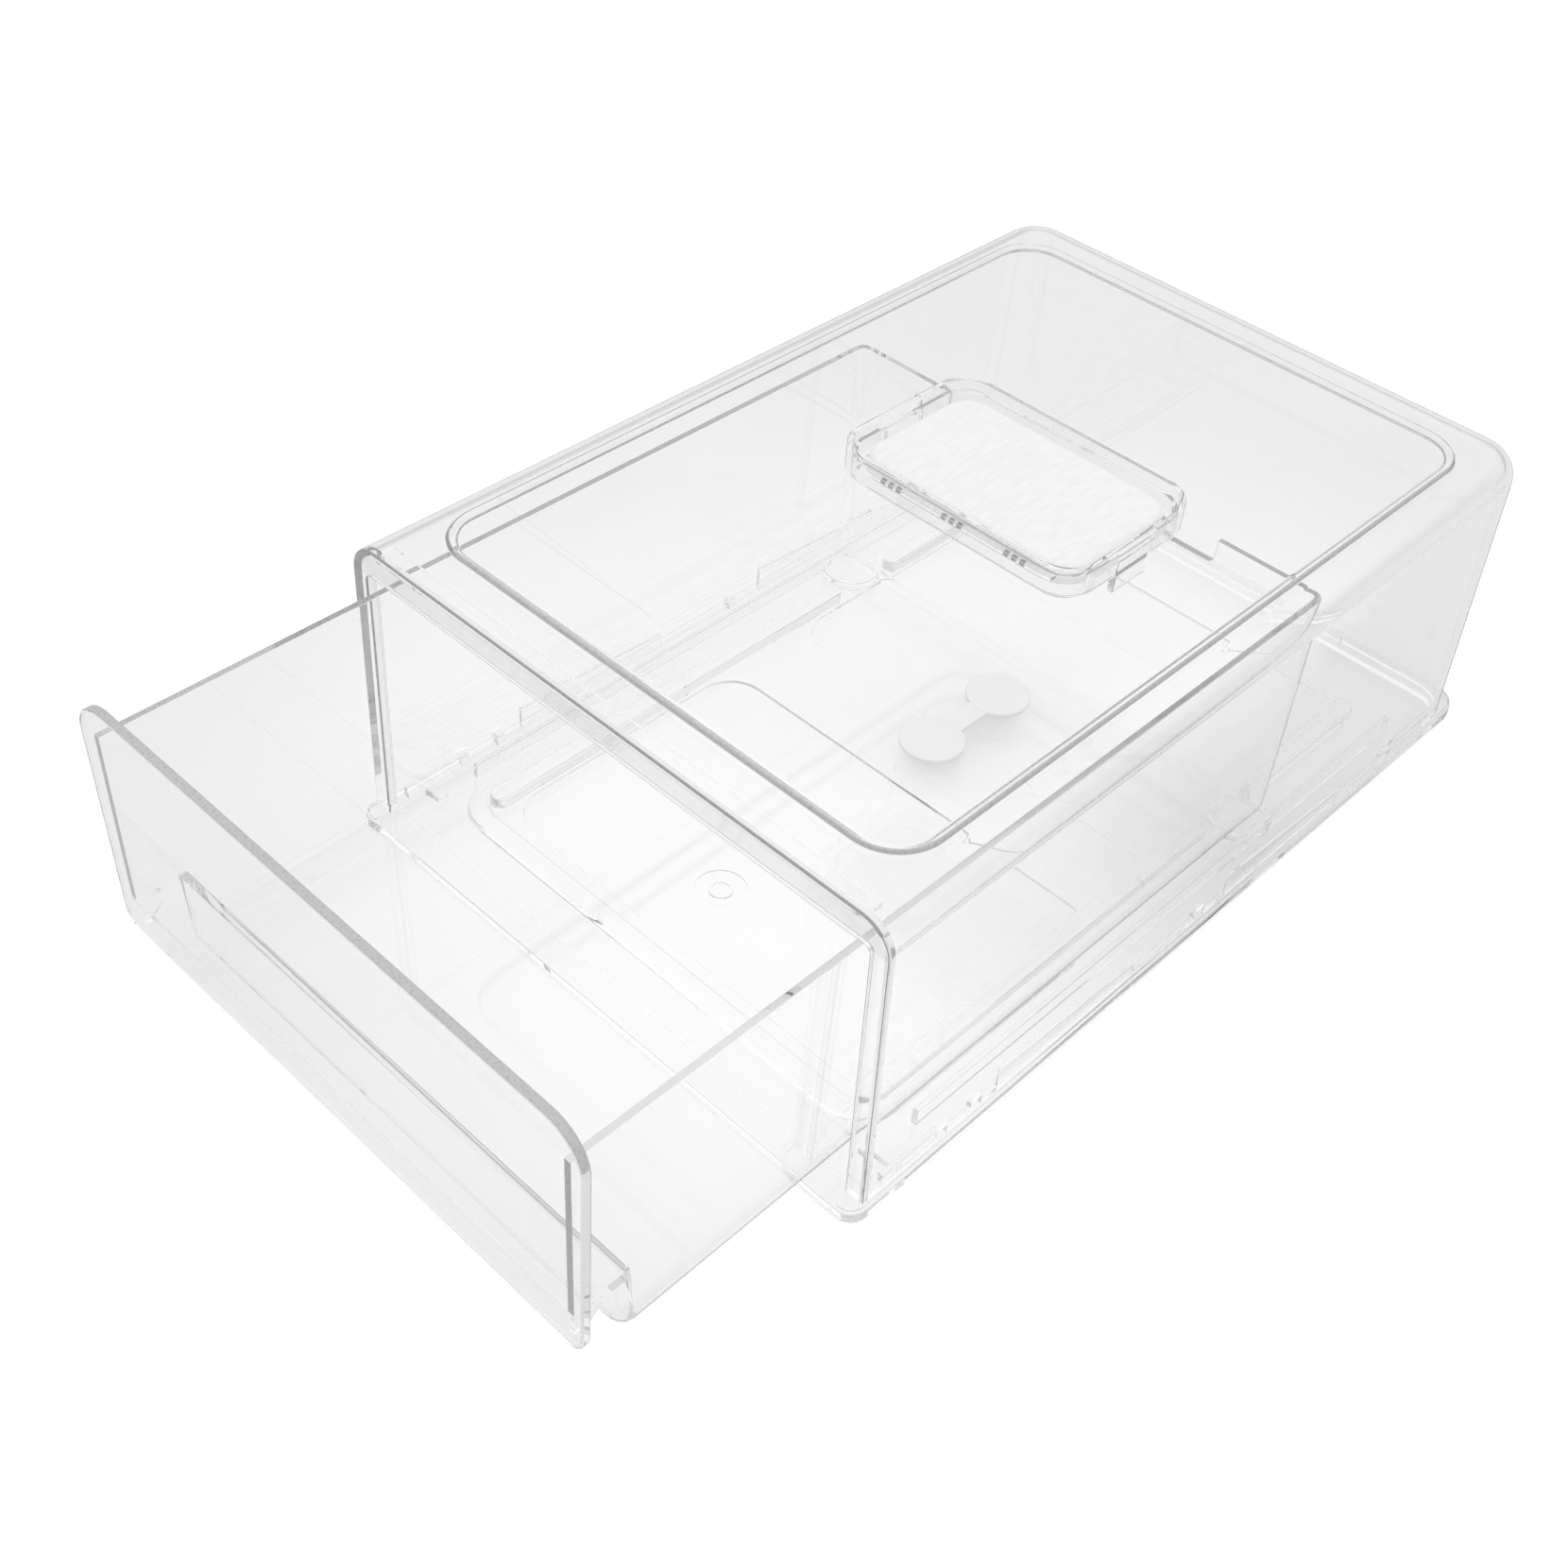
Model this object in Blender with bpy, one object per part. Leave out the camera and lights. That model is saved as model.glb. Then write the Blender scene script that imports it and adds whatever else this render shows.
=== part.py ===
"""Clear fridge drawer organizer: hood, base tray, sliding drawer, freshness cartridge.

The origin is the centre of the base tray's underside. +X is to the right of someone
who faces the drawer, +Y runs to the back and +Z is up. Lengths are in metres. The
drawer is drawn open by DRAWER_OPENING, the way it rests here.
"""

import math

import bmesh
import bpy

# Clearances
ASSEMBLY_GAP = 0.0003
RUNNING_GAP = 0.0003
CUT_OVERRUN = 0.0040
FUSE_DEPTH = 0.0005

# Hood: top, two sides and back, open at the front and below
CASE_WIDTH_TOP = 0.2050
CASE_SIDE_DRAFT = 0.0044
CASE_DEPTH = 0.3105
CASE_BACK_DRAFT = 0.0009
CASE_HEIGHT = 0.1101
CASE_WALL = 0.0024
CASE_EDGE_RADIUS = 0.0060
CASE_CORNER_RADIUS = 0.0140
RIM_DEPTH = 0.0035
RIM_SIDE_TOP = 0.0045
RIM_SIDE_BASE = 0.0066
RIM_HEADER = 0.0095
RIM_OPENING_RADIUS = 0.0055
HEADER_BAND_DEPTH = 0.0040
HEADER_BAND_DROP = 0.0014

# Raised panel of the hood's top
PLATEAU_SIDE_MARGIN = 0.0109
PLATEAU_FRONT_MARGIN = 0.0165
PLATEAU_BACK_MARGIN = 0.0195
PLATEAU_RISE = 0.0014
PLATEAU_RADIUS = 0.0160
PLATEAU_STEP_WIDTH = 0.0010

# Base tray
BASE_SIDE_MARGIN = 0.0014
BASE_FRONT_MARGIN = 0.0060
BASE_BACK_MARGIN = 0.0050
BASE_FRONT_RADIUS = 0.0060
BASE_BACK_RADIUS = 0.0120
BASE_EDGE_CHAMFER = 0.0006
BASE_FLOOR = 0.0024
BASE_RIM_HEIGHT = 0.0047
BASE_RIM_STEP = 0.0010
BASE_SEAT_WIDTH = 0.0052
TRAY_CORNER_RADIUS = 0.0065
SILL_HEIGHT = 0.0042
TONGUE_THICKNESS = 0.0016
TONGUE_TOP_FRONT = 0.0130
TONGUE_TOP_BACK = 0.0090
TONGUE_SEAT = 0.0015
TONGUE_FRONT_MARGIN = 0.0580
TONGUE_REAR_MARGIN = 0.1395
TONGUE_LENGTH = 0.0640
CORNER_TAB_TOP = 0.0082
CORNER_TAB_LENGTH = 0.0230
CORNER_TAB_FRONT_MARGIN = 0.0090
CORNER_TAB_REAR_MARGIN = 0.0385
REAR_TONGUE_HALF_LENGTH = 0.0600
REAR_TONGUE_TOP = 0.0100
CLIP_FRONT_MARGINS = (0.0330, 0.0480, 0.1560)
CLIP_REAR_MARGIN = 0.0445
CLIP_WIDTH = 0.0030
CLIP_TOP = 0.0085
CLIP_REACH = 0.0012
RAIL_INSET = 0.0168
RAIL_WIDTH = 0.0065
RAIL_TOP = 0.0068
RAIL_FRONT_MARGIN = 0.0270
RAIL_REAR_MARGIN = 0.0295
RAIL_BREAK = 0.0140
BOSS_RADIUS = 0.0105
BOSS_TOP = 0.0056
BOSS_INSET = 0.0073
BOSS_REAR_MARGIN = 0.1068
BOSS_DISH_RIM = 0.0016
BOSS_DISH_DEPTH = 0.0012
GUIDE_GAP = 0.0008
GUIDE_WIDTH = 0.0020
GUIDE_TOP = 0.0090
CROSS_STEP_FRONT = 0.0165
CROSS_STEP_DEPTH = 0.0075
CROSS_STEP_TOP = 0.0050
CROSS_STEP_INSET = 0.0008
POCKET_LEFT_INSET = 0.0178
POCKET_RIGHT_INSET = 0.0088
POCKET_RADIUS = 0.0130
POCKET_DEPTH = 0.0009
FRONT_POCKET_MARGIN = 0.0290
FRONT_POCKET_DEPTH = 0.1025
REAR_POCKET_MARGIN = 0.0290
REAR_POCKET_DEPTH = 0.1175

# Drawer
DRAWER_OPENING = 0.0892
DRAWER_SIDE_GAP = 0.0042
DRAWER_TOP_GAP = 0.0036
DRAWER_WALL = 0.0022
DRAWER_FLOOR = 0.0024
DRAWER_REAR_CLEARANCE = 0.0141
DRAWER_EDGE_RADIUS = 0.0085
DRAWER_CORNER_RADIUS = 0.0040
RISER_SETBACK = 0.0142
RISER_EDGE_RADIUS = 0.0015
SHELF_TOP = 0.0360
NOTCH_SIDE_CLEARANCE = 0.0083
NOTCH_DEPTH = 0.0085
NOTCH_RADIUS = 0.0020
GUSSET_INSET = 0.0012
GUSSET_THICKNESS = 0.0018
GUSSET_DROP = 0.0080
GUSSET_DEPTH = 0.0075
GATE_PLACE = 0.0510
GATE_RADIUS = 0.0085
GATE_HUB_RADIUS = 0.0039
GATE_DEPTH = 0.0004
GATE_SLOT_WIDTH = 0.0009

# Front panel
PANEL_THICKNESS = 0.0030
PANEL_OVERLAP = 0.0013
PANEL_SIDE_TAPER = 0.0016
PANEL_BOTTOM = 0.0237
PANEL_TOP_DROP = 0.0014
PANEL_TOP_RADIUS = 0.0130
PANEL_BASE_RADIUS = 0.0055
PANEL_EDGE_CHAMFER = 0.0004

# Freshness cartridge under the hood's top
COLLAR_WIDTH = 0.0955
COLLAR_DEPTH = 0.0636
COLLAR_REAR_MARGIN = 0.1381
COLLAR_RADIUS = 0.0120
COLLAR_WALL = 0.0018
COLLAR_DROP = 0.0106
COLLAR_GAP_WIDTH = 0.0190
COLLAR_GAP_DEPTH = 0.0036
CARTRIDGE_WALL = 0.0014
CARTRIDGE_FLOOR = 0.0016
CARTRIDGE_DROP = 0.0129
CARTRIDGE_TOP_GAP = 0.0030
TAB_WIDTH = 0.0160
TAB_THICKNESS = 0.0016
TAB_BOTTOM_DROP = 0.0176
TAB_TOP_DROP = 0.0061
VENT_PITCH = 0.0031
VENT_GROUP_PITCH = 0.0245
VENT_LENGTH = 0.0022
VENT_WIDTH = 0.0014
VENT_SETBACK = 0.0224
VENTS_IN_GROUP = 3
VENT_GROUPS = 3
PAD_END_GAP = 0.0042
PAD_SIDE_GAP = 0.0033
PAD_THICKNESS = 0.0064
PAD_RADIUS = 0.0090
PAD_EDGE = 0.0016

# Drain stopper in the drawer's floor
STOPPER_REAR_MARGINS = (0.0572, 0.0227)
STOPPER_RADIUS = 0.01125
STOPPER_THICKNESS = 0.0016
STOPPER_EDGE = 0.0004
STOPPER_STEM_RADIUS = 0.0070
STOPPER_STEM_REACH = 0.0010
STRAP_WIDTH = 0.0075

# Faces per quarter turn on rounded edges
CORNER_STEPS = 8
FILLET_STEPS = 5
SMALL_STEPS = 3
ROUND_STEPS = 36

# Worked out from the sizes above
CASE_WIDTH_BASE = CASE_WIDTH_TOP + 2 * CASE_SIDE_DRAFT
RIM_Y = -(CASE_DEPTH + CASE_BACK_DRAFT + BASE_BACK_MARGIN - BASE_FRONT_MARGIN) / 2
SEAM_Z = BASE_RIM_HEIGHT + ASSEMBLY_GAP
PANEL_BACK_Y = RIM_Y - DRAWER_OPENING - RUNNING_GAP
PANEL_FRONT_Y = PANEL_BACK_Y - PANEL_THICKNESS
PANEL_TOP_Z = CASE_HEIGHT - PANEL_TOP_DROP
DRAWER_FRONT_Y = PANEL_BACK_Y + ASSEMBLY_GAP
RISER_Y = DRAWER_FRONT_Y + RISER_SETBACK
DRAWER_BACK_Y = RIM_Y + CASE_DEPTH - DRAWER_REAR_CLEARANCE - DRAWER_OPENING
DRAWER_HALF = CASE_WIDTH_TOP / 2 - RIM_SIDE_TOP - DRAWER_SIDE_GAP
DRAWER_BOTTOM_Z = RAIL_TOP + RUNNING_GAP
DRAWER_FLOOR_Z = DRAWER_BOTTOM_Z + DRAWER_FLOOR
DRAWER_TOP_Z = CASE_HEIGHT - RIM_HEADER - DRAWER_TOP_GAP
BASE_HALF = CASE_WIDTH_BASE / 2 + BASE_SIDE_MARGIN
BASE_FRONT_Y = RIM_Y - BASE_FRONT_MARGIN
BASE_BACK_Y = RIM_Y + CASE_DEPTH + CASE_BACK_DRAFT + BASE_BACK_MARGIN
CASE_BACK_Y = RIM_Y + CASE_DEPTH
RAIL_INNER = DRAWER_HALF - RAIL_INSET
BOSS_Y = CASE_BACK_Y - BOSS_REAR_MARGIN
TONGUE_FRONTS = (RIM_Y + TONGUE_FRONT_MARGIN, CASE_BACK_Y - TONGUE_REAR_MARGIN)
CORNER_TAB_FRONTS = (RIM_Y + CORNER_TAB_FRONT_MARGIN, CASE_BACK_Y - CORNER_TAB_REAR_MARGIN)
CLIP_PLACES = (*(RIM_Y + margin for margin in CLIP_FRONT_MARGINS), CASE_BACK_Y - CLIP_REAR_MARGIN)
STOPPER_PLACES = tuple(DRAWER_BACK_Y - margin for margin in STOPPER_REAR_MARGINS)
COLLAR_Y = CASE_BACK_Y - COLLAR_REAR_MARGIN
COLLAR_HALF_X = COLLAR_WIDTH / 2
COLLAR_HALF_Y = COLLAR_DEPTH / 2
CARTRIDGE_HALF_X = COLLAR_HALF_X - COLLAR_WALL - ASSEMBLY_GAP
CARTRIDGE_HALF_Y = COLLAR_HALF_Y - COLLAR_WALL - ASSEMBLY_GAP
COLLAR_BOTTOM = CASE_HEIGHT - COLLAR_DROP
CARTRIDGE_BOTTOM = CASE_HEIGHT - CARTRIDGE_DROP
WALL_SLOPE = CASE_SIDE_DRAFT / CASE_HEIGHT
WALL_INNER_AT_TONGUE = CASE_WIDTH_BASE / 2 - WALL_SLOPE * TONGUE_TOP_FRONT - CASE_WALL
TONGUE_OUTER = WALL_INNER_AT_TONGUE - ASSEMBLY_GAP + TONGUE_SEAT


def clear_scene():
    """Remove every object of the scene that the script starts in."""
    for item in list(bpy.data.objects):
        bpy.data.objects.remove(item, do_unlink=True)


def make_material(name, color, roughness, alpha=1.0, transmission=0.0):
    """Return a Principled material for one moulded or pressed piece."""
    material = bpy.data.materials.new(name)
    material.use_nodes = True
    shader = material.node_tree.nodes["Principled BSDF"]
    shader.inputs["Base Color"].default_value = (*color, 1.0)
    shader.inputs["Roughness"].default_value = roughness
    shader.inputs["Metallic"].default_value = 0.0
    shader.inputs["Alpha"].default_value = alpha
    shader.inputs["Transmission Weight"].default_value = transmission
    material.diffuse_color = (*color, alpha)
    return material


def case_half_width(height):
    """Half width of the drafted hood at a height above the table."""
    return CASE_WIDTH_BASE / 2 - WALL_SLOPE * height


def case_back(height):
    """Outer back plane of the hood at a height above the table."""
    share = 1 - height / CASE_HEIGHT
    return RIM_Y + CASE_DEPTH + CASE_BACK_DRAFT * share


def arc(center_x, center_y, radius, start_turn, steps):
    """Points of a quarter turn that starts at a number of quarter turns."""
    points = []
    for step in range(steps + 1):
        angle = (start_turn + step / steps) * math.pi / 2
        x = center_x + radius * math.cos(angle)
        y = center_y + radius * math.sin(angle)
        points.append((x, y))
    return points


def rounded_outline(left, right, front, back, front_radius, back_radius, steps=CORNER_STEPS):
    """Outline of a rectangle, counter-clockwise from above; a radius of zero is a sharp corner."""
    corners = (
        (right, front, -front_radius, front_radius, front_radius, 3),
        (right, back, -back_radius, -back_radius, back_radius, 0),
        (left, back, back_radius, -back_radius, back_radius, 1),
        (left, front, front_radius, front_radius, front_radius, 2),
    )
    points = []
    for x, y, shift_x, shift_y, radius, turn in corners:
        if radius > 0:
            points.extend(arc(x + shift_x, y + shift_y, radius, turn, steps))
        else:
            points.append((x, y))
    return points


def circle(center_x, center_y, radius, count=ROUND_STEPS):
    """Outline of a circle."""
    points = []
    for step in range(count):
        angle = 2 * math.pi * step / count
        points.append((center_x + radius * math.cos(angle), center_y + radius * math.sin(angle)))
    return points


def loft(name, loops):
    """Object whose skin joins loops of equally many points, with flat caps at both ends."""
    mesh = bpy.data.meshes.new(name)
    grid = bmesh.new()
    rings = [[grid.verts.new(point) for point in loop] for loop in loops]
    for lower, upper in zip(rings, rings[1:]):
        for index in range(len(lower)):
            following = (index + 1) % len(lower)
            grid.faces.new((lower[index], lower[following], upper[following], upper[index]))
    grid.faces.new(list(reversed(rings[0])))
    grid.faces.new(rings[-1])
    bmesh.ops.recalc_face_normals(grid, faces=grid.faces)
    grid.to_mesh(mesh)
    grid.free()
    item = bpy.data.objects.new(name, mesh)
    bpy.context.scene.collection.objects.link(item)
    return item


def prism(name, outline, bottom, top):
    """Upright solid on a plan outline."""
    low = [(x, y, bottom) for x, y in outline]
    high = [(x, y, top) for x, y in outline]
    return loft(name, [low, high])


def prism_along_y(name, outline, front, back):
    """Solid whose XZ outline runs from front to back."""
    near = [(x, front, z) for x, z in outline]
    far = [(x, back, z) for x, z in outline]
    return loft(name, [near, far])


def prism_along_x(name, outline, left, right):
    """Solid whose YZ outline runs from left to right."""
    near = [(left, y, z) for y, z in outline]
    far = [(right, y, z) for y, z in outline]
    return loft(name, [near, far])


def box(name, left, right, front, back, bottom, top):
    """Square-edged block."""
    outline = rounded_outline(left, right, front, back, 0, 0)
    return prism(name, outline, bottom, top)


def chamfered_prism(name, outline_at, bottom, top, edge):
    """Upright solid with small chamfers, on an outline worked out for each inset."""
    levels = ((bottom, edge), (bottom + edge, 0), (top - edge, 0), (top, edge))
    loops = [[(x, y, z) for x, y in outline_at(inset)] for z, inset in levels]
    return loft(name, loops)


def boolean(target, operand, operation):
    """Join or cut with another solid, which is kept as a hidden guide."""
    operand.hide_render = True
    operand.hide_viewport = False
    operand.display_type = "WIRE"
    modifier = target.modifiers.new(operand.name, "BOOLEAN")
    modifier.operation = operation
    modifier.solver = "EXACT"
    modifier.object = operand


def cut(target, operand):
    """Cut a hidden guide out of the target."""
    boolean(target, operand, "DIFFERENCE")


def join(target, operand):
    """Fuse a hidden guide to the target."""
    boolean(target, operand, "UNION")


def finish(item, material, sharp_angle=math.radians(30)):
    """Give a piece its material and smooth its round faces."""
    item.data.materials.append(material)
    item.data.shade_smooth()
    item.data.set_sharp_from_angle(angle=sharp_angle)


def hood_skin(name, inset, bottom, front):
    """Drafted solid of the hood, or of the space inside it when inset by the wall."""
    radius = CASE_EDGE_RADIUS - inset
    corner = CASE_CORNER_RADIUS - inset
    top = CASE_HEIGHT - inset
    levels = [(bottom, 0)]
    for step in range(FILLET_STEPS + 1):
        angle = step / FILLET_STEPS * math.pi / 2
        levels.append((top - radius + radius * math.sin(angle), radius * (1 - math.cos(angle))))
    loops = []
    for z, pull in levels:
        half = case_half_width(z) - inset - pull
        back = case_back(z) - inset - pull
        outline = rounded_outline(-half, half, front, back, 0, corner - pull)
        loops.append([(x, y, z) for x, y in outline])
    return loft(name, loops)


def rim_opening_outline():
    """XZ outline of the opening in the hood's front rim, run on below the hood."""
    top = CASE_HEIGHT - RIM_HEADER
    half_top = CASE_WIDTH_TOP / 2 - RIM_SIDE_TOP
    half_base = CASE_WIDTH_BASE / 2 - RIM_SIDE_BASE
    slope = (half_base - half_top) / top
    radius = RIM_OPENING_RADIUS
    low = SEAM_Z - CUT_OVERRUN
    side = half_top + slope * (top - low)
    points = [(-side, low), (side, low)]
    points.extend(arc(half_top - radius, top - radius, radius, 0, CORNER_STEPS))
    points.extend(arc(-half_top + radius, top - radius, radius, 1, CORNER_STEPS))
    return points


def plateau_outline(inset):
    """Plan outline of the raised top panel."""
    half = CASE_WIDTH_TOP / 2 - PLATEAU_SIDE_MARGIN - inset
    front = RIM_Y + PLATEAU_FRONT_MARGIN + inset
    back = RIM_Y + CASE_DEPTH - PLATEAU_BACK_MARGIN - inset
    radius = PLATEAU_RADIUS - inset
    return rounded_outline(-half, half, front, back, radius, radius)


def collar_outline(inset):
    """Plan outline of the collar that hangs under the hood's top."""
    half_x = COLLAR_HALF_X - inset
    half_y = COLLAR_HALF_Y - inset
    radius = COLLAR_RADIUS - inset
    return rounded_outline(-half_x, half_x, COLLAR_Y - half_y, COLLAR_Y + half_y, radius, radius)


def build_hood(material):
    """Hood with its front rim, raised top panel, collar and clip windows."""
    hood = hood_skin("case_shell", 0, SEAM_Z, RIM_Y)
    plateau_low = [(x, y, CASE_HEIGHT - FUSE_DEPTH) for x, y in plateau_outline(0)]
    plateau_foot = [(x, y, CASE_HEIGHT) for x, y in plateau_outline(0)]
    plateau_high = [(x, y, CASE_HEIGHT + PLATEAU_RISE) for x, y in plateau_outline(PLATEAU_STEP_WIDTH)]
    join(hood, loft("guide_plateau", [plateau_low, plateau_foot, plateau_high]))

    inner_front = RIM_Y + RIM_DEPTH
    cut(hood, hood_skin("guide_hood_space", CASE_WALL, SEAM_Z - CUT_OVERRUN, inner_front))
    opening = rim_opening_outline()
    cut(hood, prism_along_y("guide_rim_opening", opening, RIM_Y - CUT_OVERRUN, inner_front + CUT_OVERRUN))

    ceiling = CASE_HEIGHT - CASE_WALL
    recess_low = [(x, y, ceiling - CUT_OVERRUN) for x, y in plateau_outline(CASE_WALL)]
    recess_foot = [(x, y, ceiling) for x, y in plateau_outline(CASE_WALL)]
    recess_high = [(x, y, ceiling + PLATEAU_RISE) for x, y in plateau_outline(CASE_WALL + PLATEAU_STEP_WIDTH)]
    cut(hood, loft("guide_plateau_recess", [recess_low, recess_foot, recess_high]))

    band_half = case_half_width(ceiling) - CASE_EDGE_RADIUS
    band_front = inner_front - FUSE_DEPTH
    band_back = inner_front + HEADER_BAND_DEPTH
    band_low = ceiling - HEADER_BAND_DROP
    band_top = ceiling + FUSE_DEPTH
    band = box("guide_header_band", -band_half, band_half, band_front, band_back, band_low, band_top)
    join(hood, band)

    collar_top = ceiling + PLATEAU_RISE + FUSE_DEPTH
    collar = prism("guide_collar", collar_outline(0), COLLAR_BOTTOM, collar_top)
    join(hood, collar)
    collar_space = prism(
        "guide_collar_space", collar_outline(COLLAR_WALL), COLLAR_BOTTOM - CUT_OVERRUN, ceiling + PLATEAU_RISE
    )
    cut(hood, collar_space)
    for side in (-1, 1):
        left, right = mirrored_span(side, COLLAR_HALF_X - COLLAR_GAP_DEPTH, COLLAR_HALF_X + CUT_OVERRUN)
        gap = box(
            f"guide_collar_gap_{side}",
            left,
            right,
            COLLAR_Y - COLLAR_GAP_WIDTH / 2,
            COLLAR_Y + COLLAR_GAP_WIDTH / 2,
            COLLAR_BOTTOM - CUT_OVERRUN,
            ceiling,
        )
        cut(hood, gap)

    window_half = CLIP_WIDTH / 2 + ASSEMBLY_GAP
    for index, place in enumerate(CLIP_PLACES):
        for side in (-1, 1):
            wall_outer = case_half_width(SEAM_Z)
            left, right = mirrored_span(side, wall_outer - CASE_WALL - CUT_OVERRUN, wall_outer + CUT_OVERRUN)
            window = box(
                f"guide_clip_window_{index}_{side}",
                left,
                right,
                place - window_half,
                place + window_half,
                SEAM_Z - CUT_OVERRUN,
                CLIP_TOP + ASSEMBLY_GAP,
            )
            cut(hood, window)
    for side in (-1, 1):
        left, right = mirrored_span(side, TONGUE_OUTER - CUT_OVERRUN, TONGUE_OUTER + ASSEMBLY_GAP)
        for index in range(len(TONGUE_FRONTS)):
            seat = tongue_outline(index, SEAM_Z - CUT_OVERRUN, ASSEMBLY_GAP)
            cut(hood, prism_along_x(f"guide_tongue_seat_{side}_{index}", seat, left, right))
    finish(hood, material)
    return hood


def tongue_outline(index, foot, clearance):
    """YZ outline of a wedge-shaped lock tongue, or of its seat when given a clearance."""
    front = TONGUE_FRONTS[index] - clearance
    back = TONGUE_FRONTS[index] + TONGUE_LENGTH + clearance
    top_front = TONGUE_TOP_FRONT + clearance
    top_back = TONGUE_TOP_BACK + clearance
    return [(front, foot), (back, foot), (back, top_back), (front, top_front)]


def base_outline(inset):
    """Plan outline of the base tray."""
    half = BASE_HALF - inset
    front_radius = BASE_FRONT_RADIUS - inset
    back_radius = BASE_BACK_RADIUS - inset
    front = BASE_FRONT_Y + inset
    back = BASE_BACK_Y - inset
    return rounded_outline(-half, half, front, back, front_radius, back_radius)


def rounded_rail(name, left, right, front, back, bottom, top):
    """Low rail with round ends."""
    radius = (right - left) / 2 - ASSEMBLY_GAP
    outline = rounded_outline(left, right, front, back, radius, radius, SMALL_STEPS)
    return prism(name, outline, bottom, top)


def mirrored_span(side, inner, outer):
    """Left and right limits of a span on one side of the middle."""
    return min(side * inner, side * outer), max(side * inner, side * outer)


def build_base(material):
    """Base tray: floor plate, seam rim, sill, rails, bosses, tongues and clips."""
    base = chamfered_prism("base_tray", base_outline, 0, SILL_HEIGHT, BASE_EDGE_CHAMFER)
    rim_outer = base_outline(BASE_RIM_STEP)
    join(base, prism("guide_seam_rim", rim_outer, FUSE_DEPTH, BASE_RIM_HEIGHT))

    tray_half = case_half_width(0) - BASE_SEAT_WIDTH
    tray_front = RIM_Y + RIM_DEPTH
    tray_back = case_back(0) - BASE_SEAT_WIDTH
    tray = rounded_outline(-tray_half, tray_half, tray_front, tray_back, 0, TRAY_CORNER_RADIUS)
    cut(base, prism("guide_tray_space", tray, BASE_FLOOR, BASE_RIM_HEIGHT + CUT_OVERRUN))
    mouth_front = BASE_FRONT_Y - CUT_OVERRUN
    mouth_back = tray_front + CUT_OVERRUN
    mouth_top = BASE_RIM_HEIGHT + CUT_OVERRUN
    cut(base, box("guide_mouth", -tray_half, tray_half, mouth_front, mouth_back, SILL_HEIGHT, mouth_top))

    pocket_left = POCKET_LEFT_INSET - DRAWER_HALF
    pocket_right = DRAWER_HALF - POCKET_RIGHT_INSET
    first_pocket = RIM_Y + FRONT_POCKET_MARGIN
    last_pocket = CASE_BACK_Y - REAR_POCKET_MARGIN
    pocket_spans = (
        (first_pocket, first_pocket + FRONT_POCKET_DEPTH),
        (last_pocket - REAR_POCKET_DEPTH, last_pocket),
    )
    for index, (front, back) in enumerate(pocket_spans):
        pocket = rounded_outline(pocket_left, pocket_right, front, back, POCKET_RADIUS, POCKET_RADIUS)
        cut(base, prism(f"guide_pocket_{index}", pocket, BASE_FLOOR - POCKET_DEPTH, BASE_FLOOR + CUT_OVERRUN))

    step_front = RIM_Y + CROSS_STEP_FRONT
    step_half = DRAWER_HALF - CROSS_STEP_INSET
    step = box(
        "guide_cross_step",
        -step_half,
        step_half,
        step_front,
        step_front + CROSS_STEP_DEPTH,
        BASE_FLOOR - FUSE_DEPTH,
        CROSS_STEP_TOP,
    )
    join(base, step)

    foot = BASE_FLOOR - POCKET_DEPTH - FUSE_DEPTH
    rail_front = RIM_Y + RAIL_FRONT_MARGIN
    rail_back = CASE_BACK_Y - RAIL_REAR_MARGIN
    rail_spans = ((rail_front, BOSS_Y - RAIL_BREAK), (BOSS_Y + RAIL_BREAK, rail_back))
    for side in (-1, 1):
        left, right = mirrored_span(side, RAIL_INNER, RAIL_INNER + RAIL_WIDTH)
        for index, (front, back) in enumerate(rail_spans):
            name = f"guide_rail_{side}_{index}"
            join(base, rounded_rail(name, left, right, front, back, foot, RAIL_TOP))
        center_x = side * (DRAWER_HALF - BOSS_INSET)
        join(base, prism(f"guide_boss_{side}", circle(center_x, BOSS_Y, BOSS_RADIUS), foot, BOSS_TOP))
        dish = circle(center_x, BOSS_Y, BOSS_RADIUS - BOSS_DISH_RIM)
        cut(base, prism(f"guide_dish_{side}", dish, BOSS_TOP - BOSS_DISH_DEPTH, BOSS_TOP + CUT_OVERRUN))
        add_side_walls(base, side)

    rear_outer = case_back(REAR_TONGUE_TOP) - CASE_WALL - ASSEMBLY_GAP
    rear_tongue = box(
        "guide_rear_tongue",
        -REAR_TONGUE_HALF_LENGTH,
        REAR_TONGUE_HALF_LENGTH,
        rear_outer - TONGUE_THICKNESS,
        rear_outer,
        BASE_FLOOR - FUSE_DEPTH,
        REAR_TONGUE_TOP,
    )
    join(base, rear_tongue)
    finish(base, material)
    return base


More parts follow.
